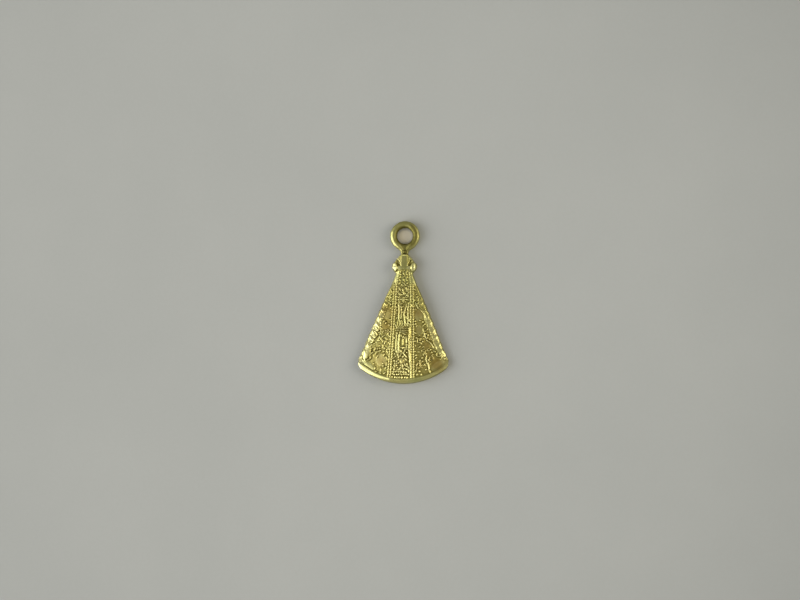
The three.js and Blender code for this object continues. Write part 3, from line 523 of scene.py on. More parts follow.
def draw_right_field(art):
    draw_border(art, *SIDES[1])
    art.ring((2.3, -8.72), 0.3, 0.18, 0.17, "edge_ring_right")
    wires = (
        (0.26, [(1.6, -9.1), (1.95, -9.74), (2.49, -10.21), (2.85, -10.7), (2.97, -11.2), (2.95, -11.45)]),
        (0.22, [(2.68, -12.5), (2.78, -13), (2.95, -13.5), (3.05, -13.95)]),
        (0.26, [(3.15, -14.2), (3.75, -14.58), (4.05, -15), (4.2, -15.4)]),
    )
    for width, points in wires:
        art.cut(points, 0.4, 0.06)
        art.stroke(points, width, 0.28, "divider_wire_right")
    art.pane((2.15, -10.75), 1.05, 1.7, -0.35, "upper_leaf_right")
    art.pane((2.2, -12.85), 0.85, 1.3, 0.05, "middle_leaf_right")
    dots = ((1.66, -11.68), (1.7, -12.05), (2.7, -11.75), (2.95, -12.05), (3.42, -13.5), (2.72, -14.4),
            (1.85, -16.25), (3.77, -15.5), (3.95, -15.85))
    art.dots("flower_right", 0.17, 0.2, *dots)
    art.scroll((2.9, -13.2), 0.28, 0.8, 0.8, 1, 0.2, 0.2, "flower_right")
    art.scroll((2.25, -14.3), 0.34, 0.7, 0.8, 1, 0.24, 0.22, "c_scroll_right", close=0.3)
    art.pane((3.3, -14.9), 0.7, 0.9, 0.6, "small_leaf_right")
    art.leaf((2.95, -15.95), 0.34, 0.9, -0.35, 0.19, "small_leaf_right")
    art.ring((3.88, -16.62), 0.26, 0.17, 0.17, "flower_right")
    s_wire = [(3.2, -16.1), (3.2, -16.9), (3.4, -17.3), (3.56, -17.7), (3.62, -18.35)]
    art.stroke(s_wire, 0.22, 0.24, "s_wire_right")
    art.leaf((2.4, -17.3), 0.5, 1.2, 0.1, 0.13, "lower_leaf_right", lobes=3)
    art.scroll((4.95, -16.1), 0.5, 0.9, 0.6, 1, 0.26, 0.18, "corner_volute_right", close=0.6)
    art.stroke([(5.1, -15.9), (5.3, -16.4), (5.1, -16.85)], 0.2, 0.17, "corner_volute_right")
    art.pane((4.7, -17.65), 1, 2, -0.95, "corner_leaf_right")


def draw_panel(art):
    spray = ((-0.5, -7.3, 0.4), (0.55, -7.35, -0.4), (0, -7.8, 0), (-0.5, -8, 0.5), (0.5, -8.05, -0.5))
    for x, z, turn in spray:
        art.leaf((x, z), 0.34, 0.7, turn, 0.18, "panel_spray")
    art.stroke([(-0.95, -8.8), (0, -8.7), (0.95, -8.8)], 0.32, 0.16, "panel_cross", pitch=0.38)
    art.leaf((0, -8.75), 0.36, 1, 0, 0.2, "panel_cross", vein=0.02)
    folds = (
        ("panel_fold_left", 0.26, 0.22, [(-0.66, -9.1), (-0.58, -10.1), (-0.62, -11.2), (-0.66, -11.6)]),
        ("panel_fold_left", 0.18, 0.15, [(-0.34, -9.4), (-0.26, -10.2), (-0.3, -11.3)]),
        ("panel_fold_right", 0.26, 0.25,
         [(0.4, -9.3), (0.34, -9.8), (0.13, -10.6), (0.22, -11.4), (0.3, -12.3)]),
        ("panel_fold_right", 0.2, 0.18, [(0.68, -9.3), (0.62, -10.4), (0.68, -11.6), (0.64, -12.3)]),
        ("panel_loop", 0.19, 0.2,
         [(-0.75, -12.4), (-0.74, -11.8), (-0.59, -11.35), (-0.43, -11.8), (-0.43, -12.4)]),
        ("panel_loop", 0.17, 0.16, [(-0.12, -11.6), (-0.14, -12.4)]),
        ("niche_frame", 0.3, 0.24, [(-0.5, -16), (-0.57, -14.7), (-0.5, -13.7), (-0.42, -13.1)]),
        ("niche_frame", 0.2, 0.06, [(-0.42, -13.15), (0.1, -13.1), (0.5, -13.2)]),
        ("niche_frame", 0.14, 0.1, [(-0.86, -13.3), (-0.92, -14.6), (-0.9, -16)]),
        ("niche_frame", 0.15, 0.12, [(0.5, -13.8), (0.54, -15.6)]),
        ("niche_bud", 0.22, 0.05, [(0.02, -14), (0, -14.9)]),
    )
    for name, width, rise, points in folds:
        art.stroke(points, width, rise, name)
    for z in (-12.62, -12.9):
        art.stroke([(-0.95, z), (0.8, z)], 0.24, 0.16, "panel_dotted_band", pitch=BEAD_PITCH)
    art.dots("niche_bud", 0.13, 0.18, (-0.18, -15.25), (0.3, -15.25))
    art.leaf((0.37, -16.3), 0.34, 0.95, 0.65, 0.23, "niche_leaf", vein=0)
    art.leaf((-0.4, -16.4), 0.28, 0.7, -0.5, 0.17, "niche_leaf")
    art.dots("hem_boss", 0.36, 0.12, (-0.05, -17.05))
    art.ring((-0.05, -17.05), 0.36, 0.17, 0.2, "hem_boss")
    for line, word in enumerate(("lower", "middle", "upper")):
        z = -19.25 + 0.36 * line
        half = 1.15 - 0.08 * line
        for x in np.arange(-half, half, BEAD_PITCH) + BEAD_PITCH / 2 * (line % 2):
            place = (x - 0.2 + pick(-0.06, 0.06), z + pick(-0.06, 0.06))
            art.dots("granule_row_" + word, 0.16, 0.2, place)
    for x, z in pick((-1.15, -18.2), (0.8, -17.3), (22, 2)):
        art.dots("granule_row_upper", pick(0.11, 0.17), 0.18, (x, z))


# Calm zones: centre (x, z) and radius
CALM = (
    (-2.35, -10.6, 0.85), (2.15, -10.75, 0.85), (-2.95, -17, 0.8), (2.2, -12.85, 0.6), (4.75, -17.65, 1),
    (-4.75, -17.6, 0.8), (0.12, -6.95, 0.3), (3.3, -14.9, 0.5), (-2.4, -12.4, 0.6), (0.05, -14.5, 0.5),
)


def calmness(x, z):
    """How calm a place is, from 0 to 1."""
    uneven = 1 + 0.45 * rough(x, z, 0.9, 21) + 0.25 * rough(x, z, 0.4, 22)
    total = 0
    for at_x, at_z, reach in CALM:
        total = np.maximum(total, ease(1.05, 0.7, uneven * np.hypot(x - at_x, z - at_z) / reach))
    return total


def fill_gaps(art):
    """Small granules, leaves and commas at random places between the ornaments."""
    kept = []
    cross = ((0, 0), (0.1, 0), (-0.1, 0), (0, 0.1), (0, -0.1))
    for _ in range(GAP_TRIES):
        z = pick(-19.2, -6.6)
        half = half_width(z, 1) - 0.22
        x = pick(-half, half)
        on_rim = hypot(x, z - HEM_CENTRE) > HEM_RADIUS - RIM_WIDTH - 0.14
        if on_rim or (z > -8.8 and abs(x) > half - 0.25):
            continue
        if calmness(x, z) > 0.1:
            continue
        panel = z > -9 or abs(x) < 1
        gap = 0.36 if panel else 0.47
        if any(hypot(x - a, z - b) < gap for a, b in kept):
            continue
        if max(art.at(x + dx, z + dz) for dx, dz in cross) > 0.05:
            continue
        kept.append((x, z))
        kind = pick() * (1 if panel else 0.9)
        turn = pick(-0.9, 0.9)
        rise = pick(0.1, 0.2)
        if kind < (0.4 if panel else 0.6):
            radius, stretch = pick(0.13, 0.18), pick(1, 1.4)
            art.dots("mantle_body", radius, rise, (x, z), stretch=stretch, turn=turn)
        elif kind < 0.8:
            art.leaf((x, z), 0.3, pick(0.5, 0.75), turn, rise, "mantle_body", vein=0.02)
        else:
            art.scroll((x, z), 0.22, 0.75, turn * 3, 1 if turn > 0 else -1, 0.17, rise, "mantle_body")


def rough(x, z, scale, seed):
    """Smooth noise, the sum of a few waves."""
    draw = np.random.default_rng(seed).uniform
    total = 0
    for _ in range(9):
        a = draw(0, 2 * np.pi)
        k = 2 * np.pi / scale * draw(0.6, 1.6)
        total = total + np.sin(k * (x * cos(a) + z * sin(a)) + draw(0, 6.28))
    return total / 9


def blur(grid, passes):
    for _ in range(passes):
        padded = np.pad(grid, 1, mode="edge")
        grid = (padded[:-2, 1:-1] + padded[2:, 1:-1] + padded[1:-1, :-2] + padded[1:-1, 2:] + 2 * grid) / 6
    return grid


def draw_ornaments(x, z):
    """All ornaments, drawn on slightly bent places, as a small casting is never regular."""
    bent_x = x + 0.035 * rough(x, z, 0.9, 11) + 0.02 * rough(x, z, 0.35, 12)
    bent_z = z + 0.035 * rough(x, z, 0.9, 13) + 0.02 * rough(x, z, 0.35, 14)
    art = Relief(bent_x, bent_z)
    z = z.ravel()
    zone = np.select([z > BAND_TOP, z > HOOD_TOP, z > HOOD_FOOT], [1, 2, 3], 0)
    for value, name in ((1, "crown_body"), (2, "crown_band"), (3, "hood")):
        art.label[zone == value] = art.index(name)
    for draw in (draw_crown, draw_hood, draw_lines, draw_left_field, draw_right_field, draw_panel, fill_gaps):
        draw(art)
    return art


def shape_rim(height, x, z, art):
    """The rim, which leans outward at the left and has a short crease above it there."""
    width = RIM_WIDTH + 0.1 * window(x, -6.2, -4.6, -4, -1.5)
    u = (np.hypot(x, z - HEM_CENTRE) - (HEM_RADIUS - width)) / width
    outer = ease(1.5, 4.5, np.abs(x))
    full = face_height(x, z) + RIM_LIFT * mix(0.35, 1, outer) + 0.01 * rough(x, z, 1.7, 5)
    arched, sloped, leaned = (np.interp(u, RIM_PLACES, shares) for shares in (RIM_ARCHED, RIM_SLOPED, RIM_LEANED))
    section = mix(sloped, np.where(x < 0, leaned, arched), outer)
    creased = window(x, -5.6, -5.2, -4.3, -3.6)
    step = mix(ease(-0.5, 0.25, u), ease(-0.14, 0.06, u), creased)
    crease_depth = 0.06 * creased * np.exp(-((u + 0.06) / 0.06) ** 2)
    low = z < RIM_ZONE
    art.label[low & (u > -0.03)] = art.index("hem_rim")
    return np.where(low, mix(height, full * section, step) - crease_depth, height)


def round_edges(height, x, z, gap):
    """Rounds the height off toward the outline and the crown's top."""
    side = np.where(z > HOOD_TOP, 0.26, np.where(x < 0, 0.32, 0.18))
    top = 0.12 + 0.3 * unit(np.abs(x))
    for share in (gap / side, (CROWN_TOP - z) / top):
        quarter = np.sqrt(unit(1 - (1 - unit(share)) ** 2))
        height = height * mix(EDGE_SHARE, 1, quarter)
    return height


def front_height(art, x, z):
    """The front's height over its seat, with all that lies on it."""
    shape = x.shape
    x, z = x.ravel(), z.ravel()
    gap = unit(half_width(z, np.where(x < 0, -1, 1)) - np.abs(x))
    relief = np.maximum(art.height, -0.1) * mix(0.25, 1, ease(0, 0.22, gap))
    relief = blur(relief.reshape(shape), 2).ravel()
    base = smooth_max(base_height(x, z), art.lift, 0.2)
    grain = sum(size * rough(x, z, scale, seed) for size, scale, seed in GRAIN)
    height = base + relief + grain * (1 - 0.75 * calmness(x, z))
    height = round_edges(shape_rim(height, x, z, art), x, z, gap)
    return np.maximum(height, 0.1).reshape(shape)


def perimeter(rows, cols):
    """The places on the edge of a grid, once around."""
    k = np.arange(rows * cols).reshape(rows, cols)
    return np.concatenate([k[0], k[1:, -1], k[-1, -2::-1], k[-2:0:-1, 0]])


def skirted(sheet, rows, cols, levels, inset=0):
    """Points, faces and edge of a sheet, drawn in by an inset, with a skirt behind its edge."""
    k = np.arange(rows * cols).reshape(rows, cols)
    loop = perimeter(rows, cols)
    along = np.roll(sheet[loop], -1, 0) - np.roll(sheet[loop], 1, 0)
    outward = along[:, ::-1] * (-1, 0, 1)
    outward /= np.maximum(np.linalg.norm(outward, axis=1, keepdims=True), 1e-9)
    sheet[loop] -= inset * outward
    points = [sheet]
    faces = [np.stack([k[:-1, :-1], k[1:, :-1], k[1:, 1:], k[:-1, 1:]], -1).reshape(-1, 4)]
    edge = loop
    for out, depth in levels:
        row = sheet[loop] + out * outward
        row[:, 1] = depth
        behind = sum(map(len, points)) + np.arange(len(loop))
        faces.append(np.stack([edge, np.roll(edge, -1), np.roll(behind, -1), behind], -1))
        points.append(row)
        edge = behind
    return np.concatenate(points), np.concatenate(faces), loop


# Materials

# Browner patches: centre (x, z), reach and strength; the broad last one is painted shade over the right field
BROWN_PATCHES = (
    (2.1, -10.5, 0.75, 1), (4.7, -17.5, 0.8, 1.5), (-2.9, -17.1, 0.9, 1), (-2.35, -10.5, 0.95, 1.3),
    (3.3, -14.9, 0.6, 0.5), (2.3, -17.5, 0.8, 0.6), (0, -10.3, 1, 0.45), (0.2, -13, 0.5, 0.4),
    (3.6, -16.4, 0.7, 0.6), (-2.2, -12.3, 0.85, 1), (2.2, -12.8, 0.6, 0.6), (0, -17.3, 0.9, 0.4),
    # Painted shade over the whole right field, which is turned from the light
    (2.8, -14.6, 2.4, 0.3),
)


def brown_patches(x, z):
    """Where the gilding is browner than elsewhere."""
    return unit(sum(weight * spot(x, z, at_x, at_z, reach, reach) for at_x, at_z, reach, weight in BROWN_PATCHES))


def rubbed_and_highlit(x, z):
    """Where the gilding is lighter: painted highlight on the edge borders, most on the left, on the left part of the
    rim and on the crown's knobs and band, and partly rubbed gilding, also on the granule rows.
    """
    out = np.abs(x)
    inner = HEM_RADIUS - RIM_WIDTH
    border = ease(1.3, 0.5, half_width(z, -1) - out) * ease(-9.5, -12, z) * np.where(x < 0, 1, 0.5)
    rim = ease(inner - 0.1, inner + 0.1, np.hypot(x, z - HEM_CENTRE)) * (z < RIM_ZONE)
    knobs = ease(0.75, 1.2, out) * window(z, -5, -4.7, -3.9, -3.6)
    band = ease(0.4, 0.6, out) * window(z, -4.8, -4.6, -4.2, -4)
    grains = window(z, -9, -8.6, -6.8, -6.4) + window(z, -19.55, -19.35, -15.6, -15)
    grains = grains * ease(1.35, 1.1, out)
    rim = rim * ease(-1.5, -4.5, x)
    return np.max([border, 0.2 * rim, 0.55 * knobs, 0.22 * grains, 0.8 * band], axis=0)


class Nodes:
    """Adds shader nodes to a material or a world and links them."""

    def __init__(self, owner, place="Object"):
        owner.use_nodes = True
        self.owner, self.tree = owner, owner.node_tree
        self.tree.nodes.clear()
        self.place = self.add("TexCoord").outputs[place]

    def put(self, value, socket):
        """Links an output to a socket, or sets a plain value there."""
        if isinstance(value, bpy.types.NodeSocket):
            self.tree.links.new(value, socket)
        else:
            socket.default_value = value

    def add(self, kind, inputs=(), **settings):
        node = self.tree.nodes.new("ShaderNode" + kind)
        for key, value in settings.items():
            setattr(node, key, value)
        for key, value in dict(inputs).items():
            self.put(value, node.inputs[key])
        return node

    def end(self, kind, surface):
        """The output node, and what the tree belongs to."""
        self.add(kind, {"Surface": surface.outputs[0]})
        return self.owner

    def noise(self, scale, detail):
        inputs = {"Vector": self.place, "Scale": scale, "Detail": detail, "Roughness": 0.6}
        return self.add("TexNoise", inputs).outputs["Fac"]

    def ramp(self, source, *stops):
        node = self.add("ValToRGB", {"Fac": source})
        node.color_ramp.elements.new(0.5)
        for element, stop in zip(node.color_ramp.elements, stops):
            element.position, element.color = stop
        return node.outputs["Color"]

    def mix(self, share, a, b, blend="MIX"):
        node = self.add("Mix", data_type="RGBA", blend_type=blend)
        for name, value in (("Factor", share), ("A", a), ("B", b)):
            self.put(value, next(s for s in node.inputs if s.name == name and s.enabled))
        return next(s for s in node.outputs if s.enabled)

    def range(self, source, low, high, to_low, to_high):
        inputs = {"Value": source, "From Min": low, "From Max": high, "To Min": to_low, "To Max": to_high}
        return self.add("MapRange", inputs).outputs["Result"]

    def math(self, operation, a, b):
        return self.add("Math", {0: a, 1: b}, operation=operation).outputs[0]

    def bump(self, height, strength, distance, **normal):
        inputs = {"Strength": strength, "Distance": distance, "Height": height, **normal}
        return self.add("Bump", inputs).outputs["Normal"]

    def part(self, name, most):
        """A value that the mesh carries, scaled to a given share."""
        source = self.add("Attribute", attribute_name=name).outputs["Fac"]
        return self.range(source, 0, 1, 0, most)

    def across(self):
        return self.add("SeparateXYZ", {"Vector": self.place}).outputs["X"]

    def distance(self, centre):
        return self.add("VectorMath", {0: self.place, 1: centre}, operation="DISTANCE").outputs["Value"]


# Colours, linear
GILT_BRIGHT = (0.70, 0.63, 0.225, 1)
GILT_WARM = (0.62, 0.51, 0.16, 1)
GILT_GREEN = (0.52, 0.52, 0.16, 1)
# Pale gold for rubbed tops and painted highlights
GILT_CREST = (0.87, 0.82, 0.41, 1)
# Dark brown for tarnish and painted shade
TARNISH_AND_SHADE = (0.13, 0.105, 0.015, 1)
# Dull olive for painted shade on the front and the eye, and for dull patches on the back plate
OLIVE = (0.32, 0.285, 0.075, 1)
COPPER = (0.45, 0.3, 0.075, 1)
PAPER_TONES = (0.412, 0.421, 0.417, 1), (0.43, 0.438, 0.433, 1)
PAPER_SPECK = (0.3, 0.3, 0.28, 1)
PAPER_GLOW = (0.88, 0.79, 0.62, 1)
BLACK = (0, 0, 0, 1)

# For each slot: roughness, strength of the grain, share of tarnish and painted shade, and tint
FINISHES = {
    "gilt_polished": (0.34, 0.05, 0.85, (0.87, 0.91, 1.02, 1)),
    "gilt_relief": (0.37, 0.16, 0.88, (0.74, 0.735, 0.68, 1)),
    "gilt_ground": (0.39, 0.25, 0.88, (0.66, 0.65, 0.58, 1)),
}


def gilt(name, polish, grain, dirt_and_shade, tint):
    """Thin gilding over a casting: patchy in colour, brown in the hollows from tarnish and painted shade, dulled
    olive where shade is painted, pale on the tops from wear and painted highlight.
    """
    nodes = Nodes(bpy.data.materials.new(name))
    patches = nodes.ramp(nodes.noise(420, 4), (0.35, GILT_GREEN), (0.5, GILT_BRIGHT), (0.68, GILT_WARM))
    color = nodes.mix(0.5, GILT_BRIGHT, patches)
    color = nodes.mix(nodes.part("brown_patches", 0.75), color, COPPER)
    # Dulled olive: painted shade on the front and the eye, dull patches on the back plate
    color = nodes.mix(nodes.part("low", 0.75 * dirt_and_shade), color, OLIVE)
    # Dark brown: tarnish in the hollows, and painted shade in recesses, the eye and the bead
    color = nodes.mix(nodes.part("tarnish_and_shade", dirt_and_shade), color, TARNISH_AND_SHADE)
    color = nodes.mix(1, color, tint, "MULTIPLY")
    # Pale tops: rubbed gilding and painted highlight
    color = nodes.mix(nodes.part("wear_and_highlight", 0.6), color, GILT_CREST)
    uneven = nodes.range(nodes.noise(2600, 4), 0.3, 0.7, polish - 0.06, polish + 0.12)
    wear = nodes.math("SUBTRACT", nodes.part("tarnish_and_shade", 0.25), nodes.part("wear_and_highlight", 0.05))
    coarse = nodes.bump(nodes.noise(3000, 3), grain, 0.03 * MM)
    fine = nodes.bump(nodes.noise(12000, 2), grain * 0.6, 0.01 * MM, Normal=coarse)
    inputs = {"Metallic": 1, "Base Color": color, "Roughness": nodes.math("ADD", uneven, wear), "Normal": fine}
    return nodes.end("OutputMaterial", nodes.add("BsdfPrincipled", inputs))


def paper():
    """Pale paper, seen from its front by the camera and in the metal. Light and views from behind pass it."""
    nodes = Nodes(bpy.data.materials.new("paper"))
    tone = nodes.mix(nodes.range(nodes.noise(45, 3), 0.3, 0.7, 0, 1), *PAPER_TONES)
    tone = nodes.mix(nodes.range(nodes.noise(2200, 3), 0.3, 0.7, 0, 0.06), tone, PAPER_SPECK)
    # Painted fall-off of the light: it darkens away from the pendant, most of all toward the right
    reach = nodes.math("POWER", nodes.math("DIVIDE", nodes.distance((0, 0, -9 * MM)), 68 * MM), 2)
    right = nodes.range(nodes.across(), -20 * MM, 45 * MM, 0.04, 0.16)
    tone = nodes.mix(nodes.math("MULTIPLY", reach, right), tone, BLACK)
    # A warm tint inside the eye, where the gilding lights the paper
    glow = nodes.range(nodes.distance((0, 0, 0)), 0.9 * MM, 1.3 * MM, 0.8, 0)
    tone = nodes.mix(glow, tone, PAPER_GLOW)
    rough_paper = nodes.bump(nodes.noise(900, 6), 0.12, 0.1 * MM)
    diffuse = nodes.add("BsdfDiffuse", {"Color": tone, "Normal": rough_paper})
    clear = nodes.add("BsdfTransparent")
    path = nodes.add("LightPath").outputs
    direct = nodes.math("MAXIMUM", path["Is Camera Ray"], path["Is Glossy Ray"])
    direct = nodes.math("MAXIMUM", direct, path["Is Transmission Ray"])
    front = nodes.math("SUBTRACT", 1, nodes.add("NewGeometry").outputs["Backfacing"])
    inputs = {0: nodes.math("MULTIPLY", direct, front), 1: clear.outputs[0], 2: diffuse.outputs[0]}
    return nodes.end("OutputMaterial", nodes.add("MixShader", inputs))


MATERIALS = {slot: gilt(slot, *finish) for slot, finish in FINISHES.items()}
SLOTS = {row["node"]: row["material_slot"] for row in frame["record"]["subparts"]}


# Pieces

def linked(name, data):
    made = bpy.data.objects.new(name, data)
    bpy.context.scene.collection.objects.link(made)
    return made


def add_piece(node, mesh):
    """The piece that stands for one node of the CAD model."""
    mesh.name = node + "_cast"
    piece = linked(mesh.name, mesh)
    mesh.materials.append(MATERIALS[SLOTS[node]])
    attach(piece, "root")
    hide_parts(node)


def give(mesh, name, values):
    mesh.attributes.new(name, "FLOAT", "POINT").data.foreach_set("value", values.astype(np.float32))


def make_mesh(points, faces, fields, normals=None):
    """A smooth mesh in metres from points in millimetres, with named values at its corners."""
    mesh = bpy.data.meshes.new("sheet")
    used, inverse = np.unique(faces, return_inverse=True)
    mesh.from_pydata((points[used] * MM).tolist(), [], inverse.reshape(faces.shape).tolist())
    for key, values in fields.items():
        give(mesh, key, values[used])
    mesh.polygons.foreach_set("use_smooth", [True] * len(mesh.polygons))
    if normals is not None:
        mesh.normals_split_custom_set_from_vertices(normals[used].tolist())
    mesh.update()
    return mesh


def turned(points, faces, toward):
    """Normals and faces, turned so that the sheet looks toward -Y or +Y."""
    a, b, c, d = (points[faces[:, k]] for k in range(4))
    normals = np.zeros_like(points)
    for k in range(4):
        np.add.at(normals, faces[:, k], np.cross(c - a, d - b))
    normals /= np.maximum(np.linalg.norm(normals, axis=1, keepdims=True), 1e-12)
    if normals[:, 1].mean() * toward < 0:
        return -normals, faces[:, ::-1]
    return normals, faces


def front_values(x, z, grid):
    """The front's narrow hollows and wide low ground, darkened by tarnish and painted shade, and its crests, made
    pale by wear and painted highlight.
    """
    narrow, wide = blur(grid, 9) - grid, blur(grid, 60) - grid
    # Painted shade in the crown's two recesses and in a spot under the hood
    recess_shade = crown_recess(x, z) * ease(BAND_Z, BAND_TOP, z) + 0.6 * spot(x, z, 0.13, -6.95, 0.32, 0.2)
    # Painted shade that dulls the crown's flat rib
    rib = ease(0.45, 0.3, np.abs(x)) * ease(-4.75, -4.55, z)
    # Painted shade that dulls the rim all round
    rim = ease(HEM_RADIUS - 0.7, HEM_RADIUS - 0.5, np.hypot(x, z - HEM_CENTRE)) * (z < RIM_ZONE)
    # Painted shade on the upper left pane
    pane = spot(x, z, -2.3, -11.1, 0.8, 1.5)
    return {
        "tarnish_and_shade": narrow * (1 + window(z, -9, -7, -4.8, -4.6)) / 0.022 + 0.12 * recess_shade,
        "low": wide / 0.05 + 0.8 * rib + 0.65 * rim + 0.55 * pane,
        "wear_and_highlight": -narrow / 0.045 + rubbed_and_highlit(x, z),
    }


def add_front():
    """One sheet over the whole front, cut into one piece for each node."""
    rows, cols = FRONT_GRID
    x, z = front_grid(rows, cols)
    art = draw_ornaments(x, z)
    grid = front_height(art, x, z)
    sheet = np.stack([x.ravel(), SEAT_Y - grid.ravel(), z.ravel()], 1)
    points, faces, loop = skirted(sheet, rows, cols, FRONT_SKIRT)
    normals, faces = turned(points, faces, -1)
    fields = {"brown_patches": brown_patches(points[:, 0], points[:, 2])}
    for key, values in front_values(x, z, grid).items():
        skirt = np.full(len(points) - len(sheet), SKIRT_VALUES[key])
        fields[key] = np.concatenate([unit(values.ravel()), skirt])
    labels = np.concatenate([art.label, np.tile(art.label[loop], len(FRONT_SKIRT))])
    owner = labels[faces[:, 0]]
    for k, node in enumerate(art.names):
        add_piece(node, make_mesh(points, faces[owner == k], fields, normals))


def add_back_plate():
    """The plate behind the front, slightly uneven and rounded."""
    rows, cols = BACK_GRID
    x, z = front_grid(rows, cols, 0.05)
    y = BACK_Y + 0.008 * rough(x, z, 2.1, 8) - 0.008
    sheet = np.stack([x.ravel(), y.ravel(), z.ravel()], 1)
    points, faces, _ = skirted(sheet, rows, cols, BACK_SKIRT, 0.1)
    _, faces = turned(points, faces, 1)
    x, z = points[:, 0], points[:, 2]
    patches = rough(x, z, 3.4, 31) + 0.6 * rough(x, z, 1.2, 32)
    rubbed = rough(x, z, 2.2, 33) + 0.5 * rough(x, z, 0.6, 34)
    fields = {
        "tarnish_and_shade": np.clip(0.4 * rubbed, 0, 0.25),
        "low": unit(0.3 + rubbed),
        "brown_patches": unit(0.2 + patches),
    }
    add_piece("back_plate", make_mesh(points, faces, fields))


# Hanging ring: a bent wire and the web between its legs

def loft(rings):
    """Points and faces of a body through rings of points, closed at both ends."""
    count = len(rings[0])
    points = np.concatenate(rings + [np.mean(rings[0], 0)[None], np.mean(rings[-1], 0)[None]])
    faces = []
    last = (len(rings) - 1) * count
    for i in range(count):
        j = (i + 1) % count
        for row in range(0, last, count):
            faces.append([row + i, row + j, row + count + j, row + count + i])
        faces += [[len(points) - 2, j, i], [len(points) - 1, last + i, last + j]]
    return points, faces


def oval(centre, out, up, count=40, flat=1):
    """A ring of points around a centre; a small value of flat squares it."""
    angle = np.linspace(0, 2 * np.pi, count, endpoint=False)[:, None]
    rise = np.sign(np.sin(angle)) * np.abs(np.sin(angle)) ** flat
    return np.array(centre) + np.cos(angle) * out + rise * up


def ring_path():
    """Places (x, z) and half widths of the wire, from its left foot to its right one."""
    turn = radians(RING_TURN)
    end = np.array([RING_RADIUS * sin(turn), RING_RADIUS * cos(turn)])
    leave = end + np.array([cos(turn), -sin(turn)]) * RING_RADIUS / 3
    foot = np.array([NECK_WIDTH / 2 - NECK_DEPTH * 0.375, NECK_FOOT + 0.1125])
    arrive = foot + (0, RING_RADIUS * 0.4)
    right = []
    for t in np.linspace(0, 1, 48):
        right.append((RING_RADIUS * sin(turn * t), RING_RADIUS * cos(turn * t), RING_WIRE / 2))
    for t in np.linspace(0, 1, 25)[1:]:
        s = 1 - t
        p = s ** 3 * end + 3 * s ** 2 * t * leave + 3 * s * t ** 2 * arrive + t ** 3 * foot
        right.append((*p, mix(RING_WIRE / 2, NECK_DEPTH / 2, float(ease(0.1, 1, t)))))
    return [(-a, b, c) for a, b, c in right[:0:-1]] + right


def ring_tube():
    """The bent wire, slightly uneven in its thickness."""
    path = ring_path()
    rings = []
    for i, (x, z, wire) in enumerate(path):
        along = np.subtract(path[min(i + 1, len(path) - 1)][:2], path[max(i - 1, 0)][:2])
        along /= np.linalg.norm(along)
        radius = wire * (1 + 0.012 * sin(i * 0.31) + 0.008 * sin(i * 0.83 + 1))
        rings.append(oval((x, 0, z), (-along[1] * radius, 0, along[0] * radius), (0, radius, 0)))
    return loft(rings)


def neck_web():
    """The flat filling between the legs, below the hole."""
    return loft([oval((0, 0, z), (half, 0, 0), (0, deep, 0), flat=0.4) for z, half, deep in WEB])


def hole_foot():
    """The arc that closes the hole at its foot."""
    ways = [np.array([sin(turn), 0, cos(turn)]) for turn in np.radians(np.linspace(125, 235, 24))]
    return loft([oval(1.42 * way, 0.33 * way, (0, 0.33, 0), 32) for way in ways])


def bead_ball():
    wide, deep, high = BEAD_RADII
    rings = []
    for tilt in np.linspace(0.05, np.pi - 0.05, 12):
        centre = np.add(NECK_BEAD, (0, 0, high * cos(tilt)))
        rings.append(oval(centre, (wide * sin(tilt), 0, 0), (0, deep * sin(tilt), 0), 24))
    return loft(rings)


def recast(parts, voxel, smooth):
    """One skin over all the parts, its edges rounded."""
    points, faces = [], []
    for part_points, part_faces in parts:
        faces += [[len(points) + i for i in face] for face in part_faces]
        points += part_points.tolist()
    mesh = bpy.data.meshes.new("rough")
    mesh.from_pydata(points, [], faces)
    body = linked("rough", mesh)
    remesh = body.modifiers.new("skin", "REMESH")
    remesh.voxel_size = voxel
    soften = body.modifiers.new("soften", "SMOOTH")
    soften.iterations = smooth
    made = bpy.data.meshes.new_from_object(body.evaluated_get(bpy.context.evaluated_depsgraph_get()))
    bpy.data.objects.remove(body)
    made.transform(Matrix.Scale(MM, 4))
    made.polygons.foreach_set("use_smooth", [True] * len(made.polygons))
    return made


def add_ring():
    """The hanging ring, with painted shade inside, between its legs, at its foot and at its top, and the bead on its
    neck, dark all over with painted shade.
    """
    mesh = recast([ring_tube(), neck_web(), hole_foot()], 0.035, 8)
    x, _, z = np.array([corner.co for corner in mesh.vertices]).T / MM
    # Painted shade: the valley between the legs, the inside of the eye, its inner right side, its foot and its top
    # are darkened, and the whole wire is dulled, more inside
    fall = z + 2.04
    valley = ease(-0.12, 0.15, x + 0.2 + 0.56 * fall) * ease(0.12, -0.15, x - 0.4 - 0.9 * fall)
    valley = valley * ease(-0.85, -1.15, z)
    reach = np.hypot(x, z)
    inside = 1 - ease(1.15, 1.6, reach)
    right = ease(0.3, 1, x) * (1 - ease(1.65, 1.95, reach))
    ends = 0.6 * ease(-1.95, -2.15, z) + 0.3 * ease(0.7, 1.5, z)
    give(mesh, "tarnish_and_shade", np.max([0.85 * valley, inside, 0.9 * right, ends], axis=0))
    give(mesh, "low", 0.65 + 0.35 * inside)
    add_piece("hanging_ring", mesh)
    bead = recast([bead_ball()], 0.03, 2)
    # Painted shade over the whole bead
    give(bead, "tarnish_and_shade", np.ones(len(bead.vertices)))
    add_piece("neck_bead", bead)


# Camera, paper, lights and world

